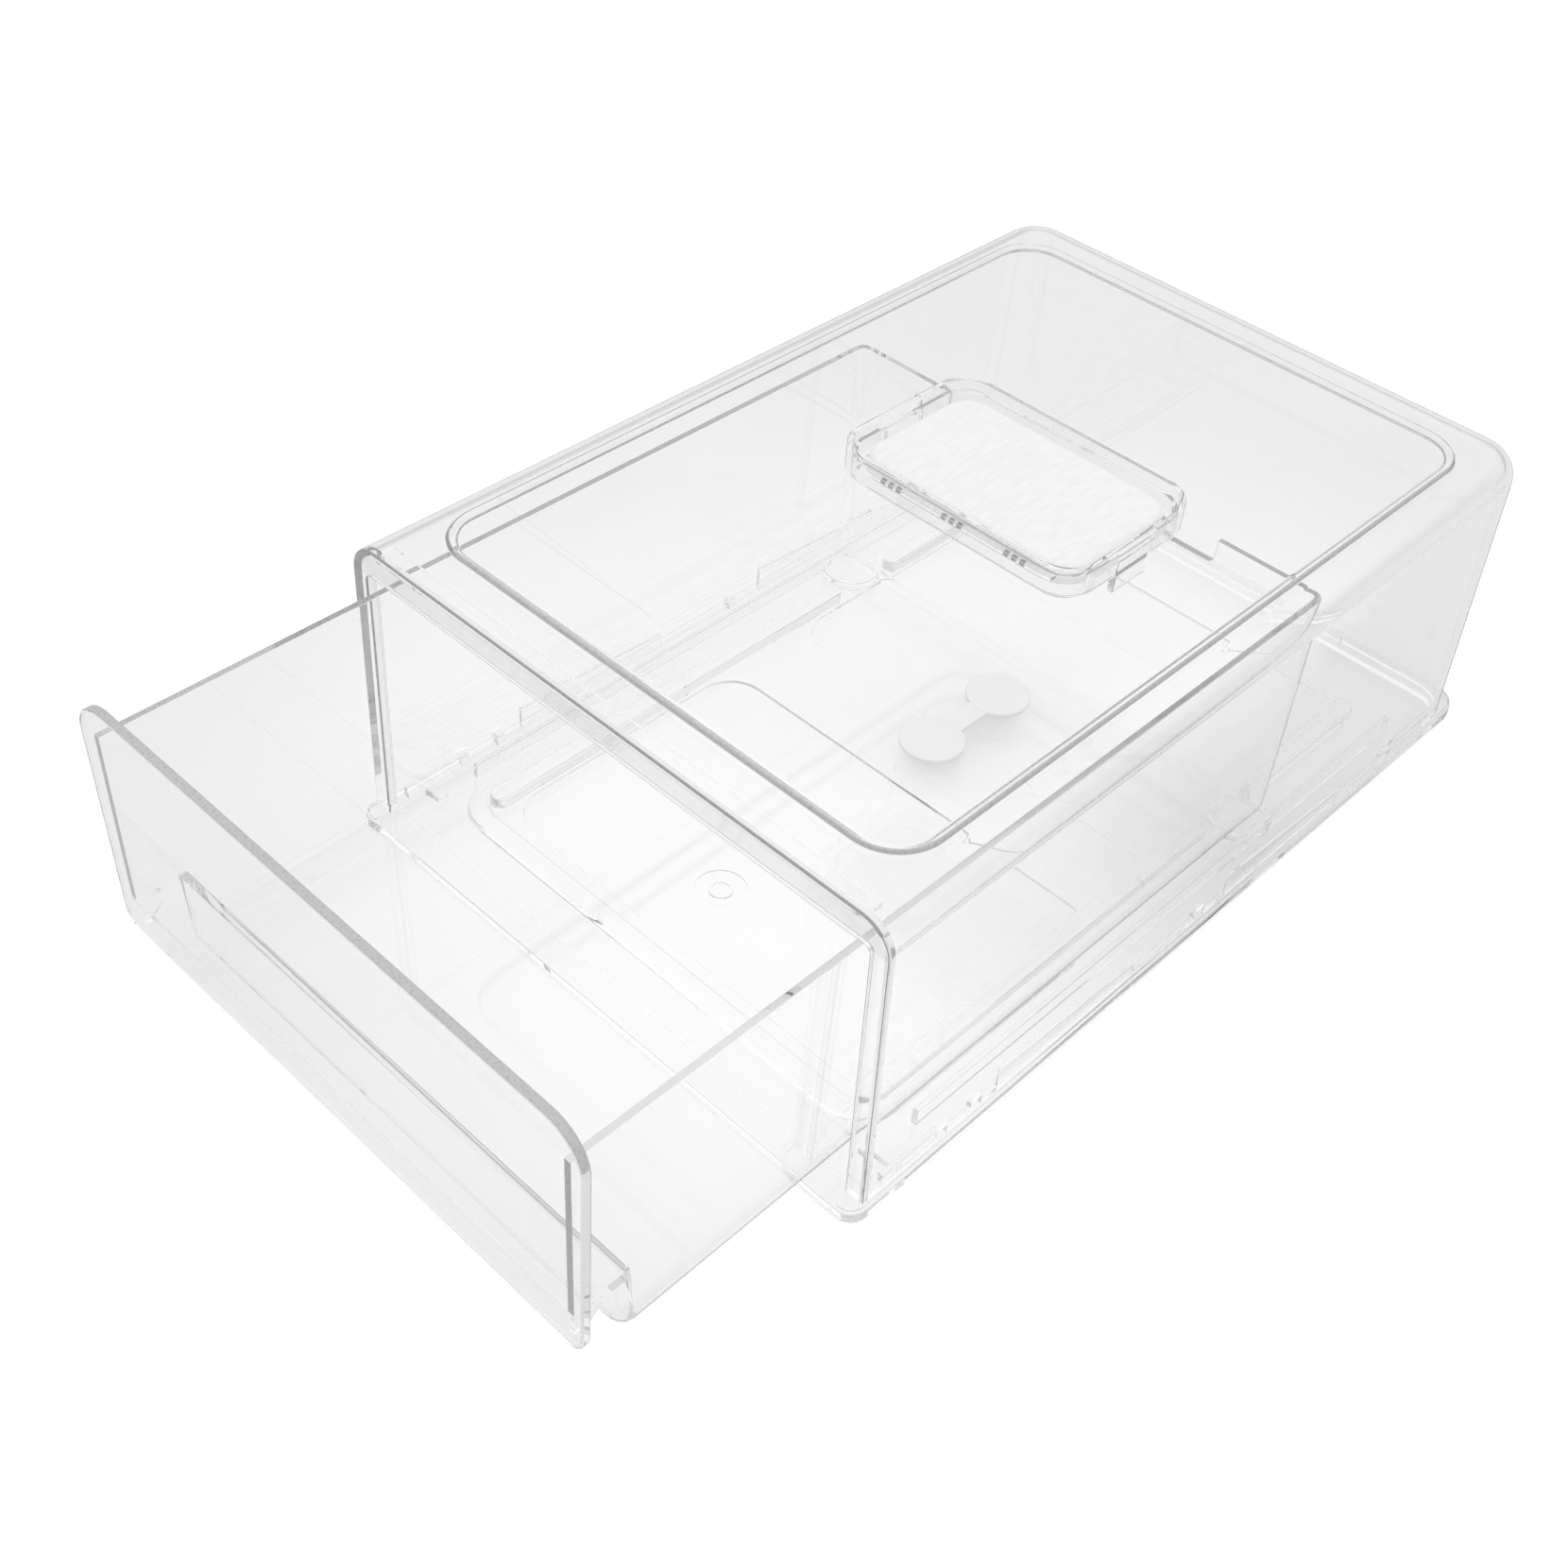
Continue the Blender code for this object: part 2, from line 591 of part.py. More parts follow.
def add_side_walls(base, side):
    """Guide rib, lock tongues, corner tabs and clips on one side of the base tray."""
    foot = BASE_FLOOR - FUSE_DEPTH
    guide_inner = DRAWER_HALF + GUIDE_GAP
    left, right = mirrored_span(side, guide_inner, guide_inner + GUIDE_WIDTH)
    guide_front = CORNER_TAB_FRONTS[0] + CORNER_TAB_LENGTH
    guide_back = CASE_BACK_Y - RAIL_REAR_MARGIN
    join(base, box(f"guide_side_rib_{side}", left, right, guide_front, guide_back, foot, GUIDE_TOP))

    left, right = mirrored_span(side, TONGUE_OUTER - TONGUE_THICKNESS, TONGUE_OUTER)
    for index in range(len(TONGUE_FRONTS)):
        outline = tongue_outline(index, foot, 0)
        join(base, prism_along_x(f"guide_tongue_{side}_{index}", outline, left, right))
    tab_outer = case_half_width(CORNER_TAB_TOP) - CASE_WALL - ASSEMBLY_GAP
    left, right = mirrored_span(side, tab_outer - TONGUE_THICKNESS, tab_outer)
    for index, front in enumerate(CORNER_TAB_FRONTS):
        back = front + CORNER_TAB_LENGTH
        join(base, box(f"guide_corner_tab_{side}_{index}", left, right, front, back, foot, CORNER_TAB_TOP))

    clip_inner = tab_outer - TONGUE_THICKNESS
    clip_outer = case_half_width(SEAM_Z) - CASE_WALL + CLIP_REACH
    left, right = mirrored_span(side, clip_inner, clip_outer)
    for index, place in enumerate(CLIP_PLACES):
        front = place - CLIP_WIDTH / 2
        back = front + CLIP_WIDTH
        bottom = BASE_RIM_HEIGHT - FUSE_DEPTH
        join(base, box(f"guide_clip_{side}_{index}", left, right, front, back, bottom, CLIP_TOP))


def drawer_skin(name, inset, front, back, bottom, top, front_radius):
    """Drawer's box with round bottom edges along its sides and back."""
    half = DRAWER_HALF - inset
    radius = DRAWER_EDGE_RADIUS - inset
    corner = max(DRAWER_CORNER_RADIUS - inset, RISER_EDGE_RADIUS)
    levels = []
    for step in range(FILLET_STEPS + 1):
        angle = step / FILLET_STEPS * math.pi / 2
        levels.append((bottom + radius * (1 - math.cos(angle)), radius * (1 - math.sin(angle))))
    levels.append((top, 0))
    loops = []
    for z, pull in levels:
        rear_pull = pull * DRAWER_CORNER_RADIUS / DRAWER_EDGE_RADIUS
        outline = rounded_outline(
            -half + pull, half - pull, front, back - rear_pull, front_radius, corner, SMALL_STEPS
        )
        loops.append([(x, y, z) for x, y in outline])
    return loft(name, loops)


def notch_outline():
    """XZ outline of the notch in the drawer's rear wall, with round lower corners."""
    low = DRAWER_TOP_Z - NOTCH_DEPTH
    high = DRAWER_TOP_Z + CUT_OVERRUN
    half = COLLAR_HALF_X + NOTCH_SIDE_CLEARANCE
    points = [(half, high), (-half, high)]
    points.extend(arc(-half + NOTCH_RADIUS, low + NOTCH_RADIUS, NOTCH_RADIUS, 2, SMALL_STEPS))
    points.extend(arc(half - NOTCH_RADIUS, low + NOTCH_RADIUS, NOTCH_RADIUS, 3, SMALL_STEPS))
    return points


def build_drawer(material):
    """Drawer box with its finger shelf, rear notch, drain holes and gate mark."""
    drawer = drawer_skin(
        "drawer_body", 0, RISER_Y, DRAWER_BACK_Y, DRAWER_BOTTOM_Z, DRAWER_TOP_Z, RISER_EDGE_RADIUS
    )
    shelf_bottom = SHELF_TOP - DRAWER_FLOOR
    bridge_back = RISER_Y + DRAWER_EDGE_RADIUS
    join(
        drawer,
        box(
            "guide_shelf", -DRAWER_HALF, DRAWER_HALF, DRAWER_FRONT_Y, bridge_back, shelf_bottom, DRAWER_TOP_Z
        ),
    )
    cut(
        drawer,
        drawer_skin(
            "guide_drawer_space",
            DRAWER_WALL,
            RISER_Y + DRAWER_WALL,
            DRAWER_BACK_Y - DRAWER_WALL,
            DRAWER_FLOOR_Z,
            DRAWER_TOP_Z + CUT_OVERRUN,
            RISER_EDGE_RADIUS,
        ),
    )
    inner_half = DRAWER_HALF - DRAWER_WALL
    cut(
        drawer,
        box(
            "guide_shelf_space",
            -inner_half,
            inner_half,
            DRAWER_FRONT_Y - CUT_OVERRUN,
            bridge_back + CUT_OVERRUN,
            SHELF_TOP,
            DRAWER_TOP_Z + CUT_OVERRUN,
        ),
    )
    notch_front = DRAWER_BACK_Y - DRAWER_WALL - CUT_OVERRUN
    notch_back = DRAWER_BACK_Y + CUT_OVERRUN
    cut(drawer, prism_along_y("guide_notch", notch_outline(), notch_front, notch_back))

    for index, place in enumerate(STOPPER_PLACES):
        hole = circle(0, place, STOPPER_STEM_RADIUS + ASSEMBLY_GAP)
        bottom = DRAWER_BOTTOM_Z - CUT_OVERRUN
        cut(drawer, prism(f"guide_drain_hole_{index}", hole, bottom, DRAWER_FLOOR_Z + CUT_OVERRUN))

    gate_y = RIM_Y + GATE_PLACE
    gate_low = DRAWER_FLOOR_Z - GATE_DEPTH
    gate_high = DRAWER_FLOOR_Z + CUT_OVERRUN
    cut(drawer, prism("guide_gate_dish", circle(0, gate_y, GATE_RADIUS), gate_low, gate_high))
    hub = circle(0, gate_y, GATE_HUB_RADIUS)
    join(drawer, prism("guide_gate_hub", hub, gate_low - FUSE_DEPTH, DRAWER_FLOOR_Z + GATE_DEPTH))
    slot_half = GATE_HUB_RADIUS - GATE_SLOT_WIDTH
    cut(
        drawer,
        box(
            "guide_gate_slot",
            -GATE_SLOT_WIDTH / 2,
            GATE_SLOT_WIDTH / 2,
            gate_y - slot_half,
            gate_y + slot_half,
            DRAWER_FLOOR_Z - GATE_DEPTH / 2,
            gate_high,
        ),
    )
    add_gussets(drawer, shelf_bottom)
    finish(drawer, material)
    return drawer


def add_gussets(drawer, shelf_bottom):
    """Corner gussets under the shelf, behind the panel's lower corners."""
    outer = DRAWER_HALF - GUSSET_INSET
    back = DRAWER_FRONT_Y + GUSSET_DEPTH
    top = shelf_bottom + FUSE_DEPTH
    low = shelf_bottom - GUSSET_DROP
    heel = (DRAWER_FRONT_Y + back) / 2
    outline = [(DRAWER_FRONT_Y, low), (heel, low), (back, shelf_bottom), (back, top), (DRAWER_FRONT_Y, top)]
    for side in (-1, 1):
        left, right = mirrored_span(side, outer - GUSSET_THICKNESS, outer)
        join(drawer, prism_along_x(f"guide_gusset_{side}", outline, left, right))


def panel_outline(inset):
    """XZ outline of the front panel, wider at its top."""
    top = PANEL_TOP_Z - inset
    low = PANEL_BOTTOM + inset
    half_top = CASE_WIDTH_TOP / 2 - RIM_SIDE_TOP + PANEL_OVERLAP - inset
    half_low = half_top - PANEL_SIDE_TAPER
    top_radius = PANEL_TOP_RADIUS - inset
    low_radius = PANEL_BASE_RADIUS - inset
    points = []
    points.extend(arc(-half_low + low_radius, low + low_radius, low_radius, 2, CORNER_STEPS))
    points.extend(arc(half_low - low_radius, low + low_radius, low_radius, 3, CORNER_STEPS))
    points.extend(arc(half_top - top_radius, top - top_radius, top_radius, 0, CORNER_STEPS))
    points.extend(arc(-half_top + top_radius, top - top_radius, top_radius, 1, CORNER_STEPS))
    return points


def build_panel(material):
    """Flat front panel that closes the drawer and hangs below its shelf as a finger pull."""
    edge = PANEL_EDGE_CHAMFER
    levels = (
        (PANEL_FRONT_Y, edge),
        (PANEL_FRONT_Y + edge, 0),
        (PANEL_BACK_Y - edge, 0),
        (PANEL_BACK_Y, edge),
    )
    loops = [[(x, y, z) for x, z in panel_outline(inset)] for y, inset in levels]
    panel = loft("front_panel", loops)
    finish(panel, material)
    return panel


def cartridge_outline(inset):
    """Plan outline of the cartridge cup, which fits inside the collar."""
    half_x = CARTRIDGE_HALF_X - inset
    half_y = CARTRIDGE_HALF_Y - inset
    radius = COLLAR_RADIUS - COLLAR_WALL - ASSEMBLY_GAP - inset
    return rounded_outline(-half_x, half_x, COLLAR_Y - half_y, COLLAR_Y + half_y, radius, radius)


def build_cartridge(material):
    """Cup that snaps up into the collar, with vents in its floor and a tab at each end."""
    cup_top = CASE_HEIGHT - CASE_WALL + PLATEAU_RISE - CARTRIDGE_TOP_GAP
    cup = prism("cartridge_cup", cartridge_outline(0), CARTRIDGE_BOTTOM, cup_top)
    floor_top = CARTRIDGE_BOTTOM + CARTRIDGE_FLOOR
    cut(cup, prism("guide_cup_space", cartridge_outline(CARTRIDGE_WALL), floor_top, cup_top + CUT_OVERRUN))
    for side in (-1, 1):
        inner = CARTRIDGE_HALF_X - FUSE_DEPTH
        left, right = mirrored_span(side, inner, CARTRIDGE_HALF_X + TAB_THICKNESS)
        front = COLLAR_Y - TAB_WIDTH / 2
        back = COLLAR_Y + TAB_WIDTH / 2
        tab_bottom = CASE_HEIGHT - TAB_BOTTOM_DROP
        tab_top = CASE_HEIGHT - TAB_TOP_DROP
        join(cup, box(f"guide_tab_{side}", left, right, front, back, tab_bottom, tab_top))
    vent_front = COLLAR_Y - VENT_SETBACK - VENT_WIDTH / 2
    vent_back = vent_front + VENT_WIDTH
    for group in range(VENT_GROUPS):
        group_x = (group - (VENT_GROUPS - 1) / 2) * VENT_GROUP_PITCH
        for index in range(VENTS_IN_GROUP):
            middle = group_x + (index - (VENTS_IN_GROUP - 1) / 2) * VENT_PITCH
            left = middle - VENT_LENGTH / 2
            right = middle + VENT_LENGTH / 2
            bottom = CARTRIDGE_BOTTOM - CUT_OVERRUN
            top = floor_top + CARTRIDGE_FLOOR
            cut(cup, box(f"guide_vent_{group}_{index}", left, right, vent_front, vent_back, bottom, top))
    finish(cup, material)
    return cup


def build_pad(material):
    """Soft-edged absorber pad that lies in the cartridge cup."""
    bottom = CARTRIDGE_BOTTOM + CARTRIDGE_FLOOR + ASSEMBLY_GAP
    top = bottom + PAD_THICKNESS
    levels = [(bottom, PAD_EDGE / 2), (bottom + PAD_EDGE / 2, 0)]
    for step in range(SMALL_STEPS + 1):
        angle = step / SMALL_STEPS * math.pi / 2
        levels.append((top - PAD_EDGE + PAD_EDGE * math.sin(angle), PAD_EDGE * (1 - math.cos(angle))))
    loops = []
    for z, inset in levels:
        half_x = CARTRIDGE_HALF_X - CARTRIDGE_WALL - PAD_END_GAP - inset
        half_y = CARTRIDGE_HALF_Y - CARTRIDGE_WALL - PAD_SIDE_GAP - inset
        radius = PAD_RADIUS - inset
        outline = rounded_outline(-half_x, half_x, COLLAR_Y - half_y, COLLAR_Y + half_y, radius, radius)
        loops.append([(x, y, z) for x, y in outline])
    pad = loft("absorber_pad", loops)
    finish(pad, material)
    return pad


def build_stopper(material):
    """Soft double stopper: two plugs for the drain holes, joined by a strap."""
    low = DRAWER_FLOOR_Z + ASSEMBLY_GAP
    high = low + STOPPER_THICKNESS
    first, second = STOPPER_PLACES

    def flange_at(center_y):
        """Outline of one flange for a given chamfer inset."""
        return lambda inset: circle(0, center_y, STOPPER_RADIUS - inset)

    stopper = chamfered_prism("drain_stopper", flange_at(first), low, high, STOPPER_EDGE)
    join(stopper, chamfered_prism("guide_flange", flange_at(second), low, high, STOPPER_EDGE))
    strap_top = high - STOPPER_EDGE
    join(stopper, box("guide_strap", -STRAP_WIDTH / 2, STRAP_WIDTH / 2, first, second, low, strap_top))
    stem_low = DRAWER_BOTTOM_Z - STOPPER_STEM_REACH
    for index, center_y in enumerate((first, second)):
        stem = circle(0, center_y, STOPPER_STEM_RADIUS)
        join(stopper, prism(f"guide_stem_{index}", stem, stem_low, low + STOPPER_THICKNESS / 2))
    finish(stopper, material)
    return stopper


def set_slide_axis(pieces):
    """Hang the moving pieces from an empty on the drawer's slide line."""
    slide = bpy.data.objects.new("drawer_slide", None)
    slide.location = (0, DRAWER_FRONT_Y, DRAWER_BOTTOM_Z)
    bpy.context.scene.collection.objects.link(slide)
    bpy.context.view_layer.update()
    for piece in pieces:
        piece.parent = slide
        piece.matrix_parent_inverse = slide.matrix_world.inverted()


def main():
    """Build every piece of the organizer."""
    clear_scene()
    clear = make_material("clear_plastic", (0.93, 0.95, 0.96), 0.05, alpha=0.35, transmission=1.0)
    silicone = make_material("silicone", (0.90, 0.90, 0.90), 0.45, alpha=0.85)
    fibre = make_material("absorber", (0.95, 0.95, 0.95), 0.90)
    build_hood(clear)
    build_base(clear)
    drawer = build_drawer(clear)
    panel = build_panel(clear)
    build_cartridge(clear)
    build_pad(fibre)
    stopper = build_stopper(silicone)
    set_slide_axis((drawer, panel, stopper))


main()
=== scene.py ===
"""Clear fridge drawer organizer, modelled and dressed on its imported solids.

Every length is in metres. +X is to the right of someone who faces the drawer, +Y runs
to the back and +Z is up, and the drawer stands open the way it rests.
"""

from __future__ import annotations

import logging
import math
from contextlib import contextmanager
from dataclasses import dataclass, field
from enum import Enum
from typing import Callable, Iterator

import bmesh
import bpy
from mathutils import Matrix, Vector


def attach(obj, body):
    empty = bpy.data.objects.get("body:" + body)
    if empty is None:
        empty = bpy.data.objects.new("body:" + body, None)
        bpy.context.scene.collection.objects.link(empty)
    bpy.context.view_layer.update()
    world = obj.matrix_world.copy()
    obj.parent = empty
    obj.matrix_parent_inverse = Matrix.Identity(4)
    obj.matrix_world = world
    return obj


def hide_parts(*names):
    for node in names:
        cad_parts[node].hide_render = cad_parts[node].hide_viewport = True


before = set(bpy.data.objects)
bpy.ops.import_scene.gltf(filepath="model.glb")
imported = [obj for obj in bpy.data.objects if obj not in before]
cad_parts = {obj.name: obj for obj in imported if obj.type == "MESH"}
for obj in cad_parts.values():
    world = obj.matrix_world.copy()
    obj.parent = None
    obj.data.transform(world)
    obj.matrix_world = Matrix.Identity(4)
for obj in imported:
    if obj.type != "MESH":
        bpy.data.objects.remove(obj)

LOG = logging.getLogger("organizer")

Point = tuple[float, float, float]
Colour = tuple[float, float, float]
Span = tuple[float, float]
Piece = bpy.types.Object
Socket = bpy.types.NodeSocket

X, Y, Z = range(3)

# Front plane of the hood's rim, which many places are counted from.
RIM_Y = -0.1552
# Reach within which points are merged, places are the same, and whole faces are the same.
MERGE = 1e-6
TINY = 2e-5
NEARBY = 1e-4
# How far a cutter runs past its target, and how deep a joined solid sinks into it.
OVERRUN = 0.0040
FUSE = 0.0005
# Least part of a direction on an axis, for an edge along it and for a face square to it.
ALONG = 0.98
SQUARE = 0.95
# Places that two pieces share, from front to back.
CLIP_PLACES = (RIM_Y + 0.033, RIM_Y + 0.048, RIM_Y + 0.156, 0.1108)
TONGUE_FRONTS = (RIM_Y + 0.058, 0.0158)
TONGUE_LENGTH = 0.0640
DRAIN_PLACES = (-0.0052, 0.0293)

# Refractive index of the clear plastic, and enough bounces for its stacked walls.
PLASTIC_INDEX = 1.49
BOUNCES = {
    "max_bounces": 48, "transmission_bounces": 48, "glossy_bounces": 24,
    "diffuse_bounces": 4, "transparent_max_bounces": 32,
}


class Body(Enum):
    """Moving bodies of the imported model."""

    CASE = "case"
    DRAWER = "drawer"


class Fusion(Enum):
    """Ways to combine two solids."""

    JOIN = "UNION"
    CUT = "DIFFERENCE"


class PaintedShade(Enum):
    """Places of a clear piece painted grey or dark as shade, where they gather light differently
    from its walls.
    """

    EDGE = "light grey edge"
    RIM = "grey rim"
    END = "dark narrow end"
    BAND = "faint grey band"


@dataclass(frozen=True)
class Spot:
    """Place of an edge or face: its middle, and the direction it runs or faces."""

    middle: Vector
    line: Vector

    @classmethod
    def of(cls, part: bmesh.types.BMEdge | bmesh.types.BMFace) -> Spot:
        """Return the place of an edge or a face.

        Args:
            part: The edge or face.

        Returns:
            Its place.
        """
        if isinstance(part, bmesh.types.BMFace):
            return cls(part.calc_center_median(), part.normal)
        start, end = (vertex.co for vertex in part.verts)
        return cls((start + end) / 2, (end - start).normalized())

    def along(self, axis: int) -> bool:
        """Tell whether the line runs along a main axis."""
        return abs(self.line[axis]) > ALONG

    def near(self, axis: int, value: float, reach: float = TINY) -> bool:
        """Tell whether the middle lies at a value on an axis."""
        return abs(self.middle[axis] - value) < reach

    def fronts(self, place: float) -> bool:
        """Tell whether a face looks to the front at a place."""
        return self.line.y < -SQUARE and self.near(Y, place, NEARBY)


Test = Callable[[Spot], bool]


def everything(spot: Spot) -> bool:
    """Pass every place."""
    return True


def at(axis: int, value: float) -> Test:
    """Return the test for what lies at a value on an axis."""
    return lambda spot: spot.near(axis, value)


def at_except(axis: int, value: float, other: int, end: float) -> Test:
    """Return the test for what lies at a value on an axis, and not at an end on another."""
    return lambda spot: spot.near(axis, value) and not spot.near(other, end)


def running(along: int, axis: int, value: float) -> Test:
    """Return the test for edges that run along one axis at a value on another."""
    return lambda spot: spot.along(along) and spot.near(axis, value)


# Bench tools


def alone(piece: Piece) -> None:
    """Make a piece the only selected object, and the active one.

    Args:
        piece: Object that the next operator acts on.
    """
    bpy.ops.object.select_all(action="DESELECT")
    piece.select_set(True)
    bpy.context.view_layer.objects.active = piece


@contextmanager
def chosen(piece: Piece, test: Test, faces: bool = False) -> Iterator[int]:
    """Open a piece in edit mode, with the edges or faces selected that pass a test.

    Args:
        piece: Piece to shape.
        test: Test on an edge's or a face's place.
        faces: Choose faces instead of edges.

    Returns:
        How many are selected.
    """
    alone(piece)
    bpy.ops.object.mode_set(mode="EDIT")
    bpy.context.tool_settings.mesh_select_mode = (False, not faces, faces)
    bpy.ops.mesh.select_all(action="DESELECT")
    mesh = bmesh.from_edit_mesh(piece.data)
    parts = [part for part in (mesh.faces if faces else mesh.edges) if test(Spot.of(part))]
    for part in parts:
        part.select_set(True)
    mesh.select_flush_mode()
    bmesh.update_edit_mesh(piece.data)
    try:
        yield len(parts)
    finally:
        bpy.ops.object.mode_set(mode="OBJECT")


def around(middle: float, half: float) -> Span:
    """Return the span that reaches equally far to both sides of a middle."""
    return middle - half, middle + half


def block(name: str, across: Span, depth: Span, levels: Span) -> Piece:
    """Add a square block.

    Args:
        name: Name of the block.
        across: Its left and right faces.
        depth: Its front and back faces.
        levels: Its lowest and highest level.

    Returns:
        The block, with its place in its mesh.
    """
    middle = [sum(span) / 2 for span in (across, depth, levels)]
    size = [high - low for low, high in (across, depth, levels)]
    bpy.ops.object.select_all(action="DESELECT")
    bpy.ops.mesh.primitive_cube_add(size=1.0, location=middle, scale=size)
    return settle(name)


def slab(name: str, half: float, depth: Span, levels: Span) -> Piece:
    """Add a block that is even about the middle plane, with half its width given."""
    return block(name, (-half, half), depth, levels)


def disc(name: str, middle: Span, radius: float, levels: Span, sides: int = 56) -> Piece:
    """Add an upright round disc.

    Args:
        name: Name of the disc.
        middle: X and Y of its axis.
        radius: Its radius.
        levels: Its lowest and highest level.
        sides: Flats round it.

    Returns:
        The disc, with its place in its mesh.
    """
    bpy.ops.object.select_all(action="DESELECT")
    low, high = levels
    bpy.ops.mesh.primitive_cylinder_add(
        vertices=sides, radius=radius, depth=high - low, location=(*middle, (low + high) / 2)
    )
    return settle(name)


def settle(name: str) -> Piece:
    """Name a new primitive or copy and move its place and size into its mesh.

    Args:
        name: Name of the object and of its mesh.

    Returns:
        The named object.
    """
    piece = bpy.context.object
    piece.name = name
    piece.data.name = name
    bpy.ops.object.transform_apply(location=True, rotation=True, scale=True)
    return piece


def round_edges(piece: Piece, test: Test, radius: float, steps: int) -> None:
    """Round the edges that pass a test.

    Args:
        piece: Piece to shape.
        test: Test on an edge's place.
        radius: Radius of the rounding.
        steps: Faces across the rounding.
    """
    with chosen(piece, test) as count:
        if count:
            bpy.ops.mesh.bevel(
                offset=radius, offset_type="OFFSET", segments=steps, profile=0.5,
                affect="EDGES", clamp_overlap=False,
            )
    if not count:
        LOG.warning("no edge to round on %s", piece.name)


def round_level(piece: Piece, level: float, radius: float, steps: int = 3) -> None:
    """Round the edges that lie at a level.

    Args:
        piece: Piece to shape.
        level: Height of the edges.
        radius: Radius of the rounding.
        steps: Faces across the rounding.
    """
    round_edges(piece, at(Z, level), radius, steps)


def shift_edges(piece: Piece, test: Test, move: Point) -> None:
    """Move the edges that pass a test.

    Args:
        piece: Piece to shape.
        test: Test on an edge's place.
        move: Step to their new place.
    """
    with chosen(piece, test):
        bpy.ops.transform.translate(value=move)


def scale_faces(piece: Piece, test: Test, scale: Point, centre: Point) -> None:
    """Scale the faces that pass a test.

    Args:
        piece: Piece to shape.
        test: Test on a face's place.
        scale: Scale on each axis.
        centre: Point that stays.
    """
    with chosen(piece, test, faces=True):
        bpy.ops.transform.resize(value=scale, center_override=centre)


def split_faces(piece: Piece, test: Test, level: float) -> None:
    """Split the faces that pass a test along a level line.

    Args:
        piece: Piece to shape.
        test: Test on a face's place.
        level: Height of the line.
    """
    with chosen(piece, test, faces=True):
        bpy.ops.mesh.bisect(plane_co=(0, 0, level), plane_no=(0, 0, 1))


def fuse(target: Piece, tool: Piece, fusion: Fusion) -> None:
    """Join a tool solid to a target, or cut it out of the target, and remove the tool.

    Args:
        target: Piece that stays.
        tool: Solid that is used up.
        fusion: Join or cut.
    """
    alone(target)
    step = target.modifiers.new("fusion", "BOOLEAN")
    step.operation = fusion.value
    step.solver = "EXACT"
    step.object = tool
    bpy.ops.object.modifier_apply(modifier=step.name)
    alone(tool)
    bpy.ops.object.delete()


def join(target: Piece, *tools: Piece) -> None:
    """Fuse solids to a target."""
    for tool in tools:
        fuse(target, tool, Fusion.JOIN)


def cut(target: Piece, *tools: Piece) -> None:
    """Cut solids out of a target."""
    for tool in tools:
        fuse(target, tool, Fusion.CUT)


def copy_to(piece: Piece, move: Point) -> Piece:
    """Copy a piece, with its own mesh, and move the copy.

    Args:
        piece: Piece to repeat.
        move: Step to the copy's place.

    Returns:
        The copy.
    """
    alone(piece)
    bpy.ops.object.duplicate(linked=False)
    bpy.ops.transform.translate(value=move)
    return settle(piece.name)


def both_sides(piece: Piece) -> tuple[Piece, Piece]:
    """Copy a piece to the other side of the middle plane.

    Args:
        piece: Piece on one side.

    Returns:
        The piece and its mirrored copy, with the copy's faces turned outwards.
    """
    alone(piece)
    bpy.ops.object.duplicate(linked=False)
    bpy.ops.transform.resize(value=(-1, 1, 1), center_override=(0, 0, 0))
    twin = settle(piece.name)
    with chosen(twin, everything, faces=True):
        bpy.ops.mesh.normals_make_consistent(inside=False)
    return piece, twin


def smooth(piece: Piece, crisp: float) -> None:
    """Merge doubles, turn every face outwards, smooth what is round and keep flats flat.

    Args:
        piece: Piece to finish.
        crisp: Edges that turn by more degrees than this stay crisp.
    """
    with chosen(piece, everything, faces=True):
        bpy.ops.mesh.remove_doubles(threshold=MERGE)
        bpy.ops.mesh.normals_make_consistent(inside=False)
    bpy.ops.object.shade_smooth_by_angle(angle=math.radians(crisp))
    weight = piece.modifiers.new("flats", "WEIGHTED_NORMAL")
    weight.mode = "FACE_AREA"
    weight.keep_sharp = True
    bpy.ops.object.modifier_apply(modifier=weight.name)


def tint_faces(piece: Piece, material: bpy.types.Material, test: Test) -> None:
    """Give the faces that pass a test a material of their own.

    Args:
        piece: Piece that already has its main material.
        material: Material of the chosen faces.
        test: Test on a face's place.
    """
    piece.data.materials.append(material)
    with chosen(piece, test, faces=True) as count:
        piece.active_material_index = len(piece.data.materials) - 1
        bpy.ops.object.material_slot_assign()
    LOG.info("%s: %d faces of %s", piece.name, count, material.name)


def with_corners(piece: Piece, radius: float, steps: int) -> Piece:
    """Round the upright edges of a block, and return it."""
    round_edges(piece, lambda spot: spot.along(Z), radius, steps)
    return piece


# Finishes


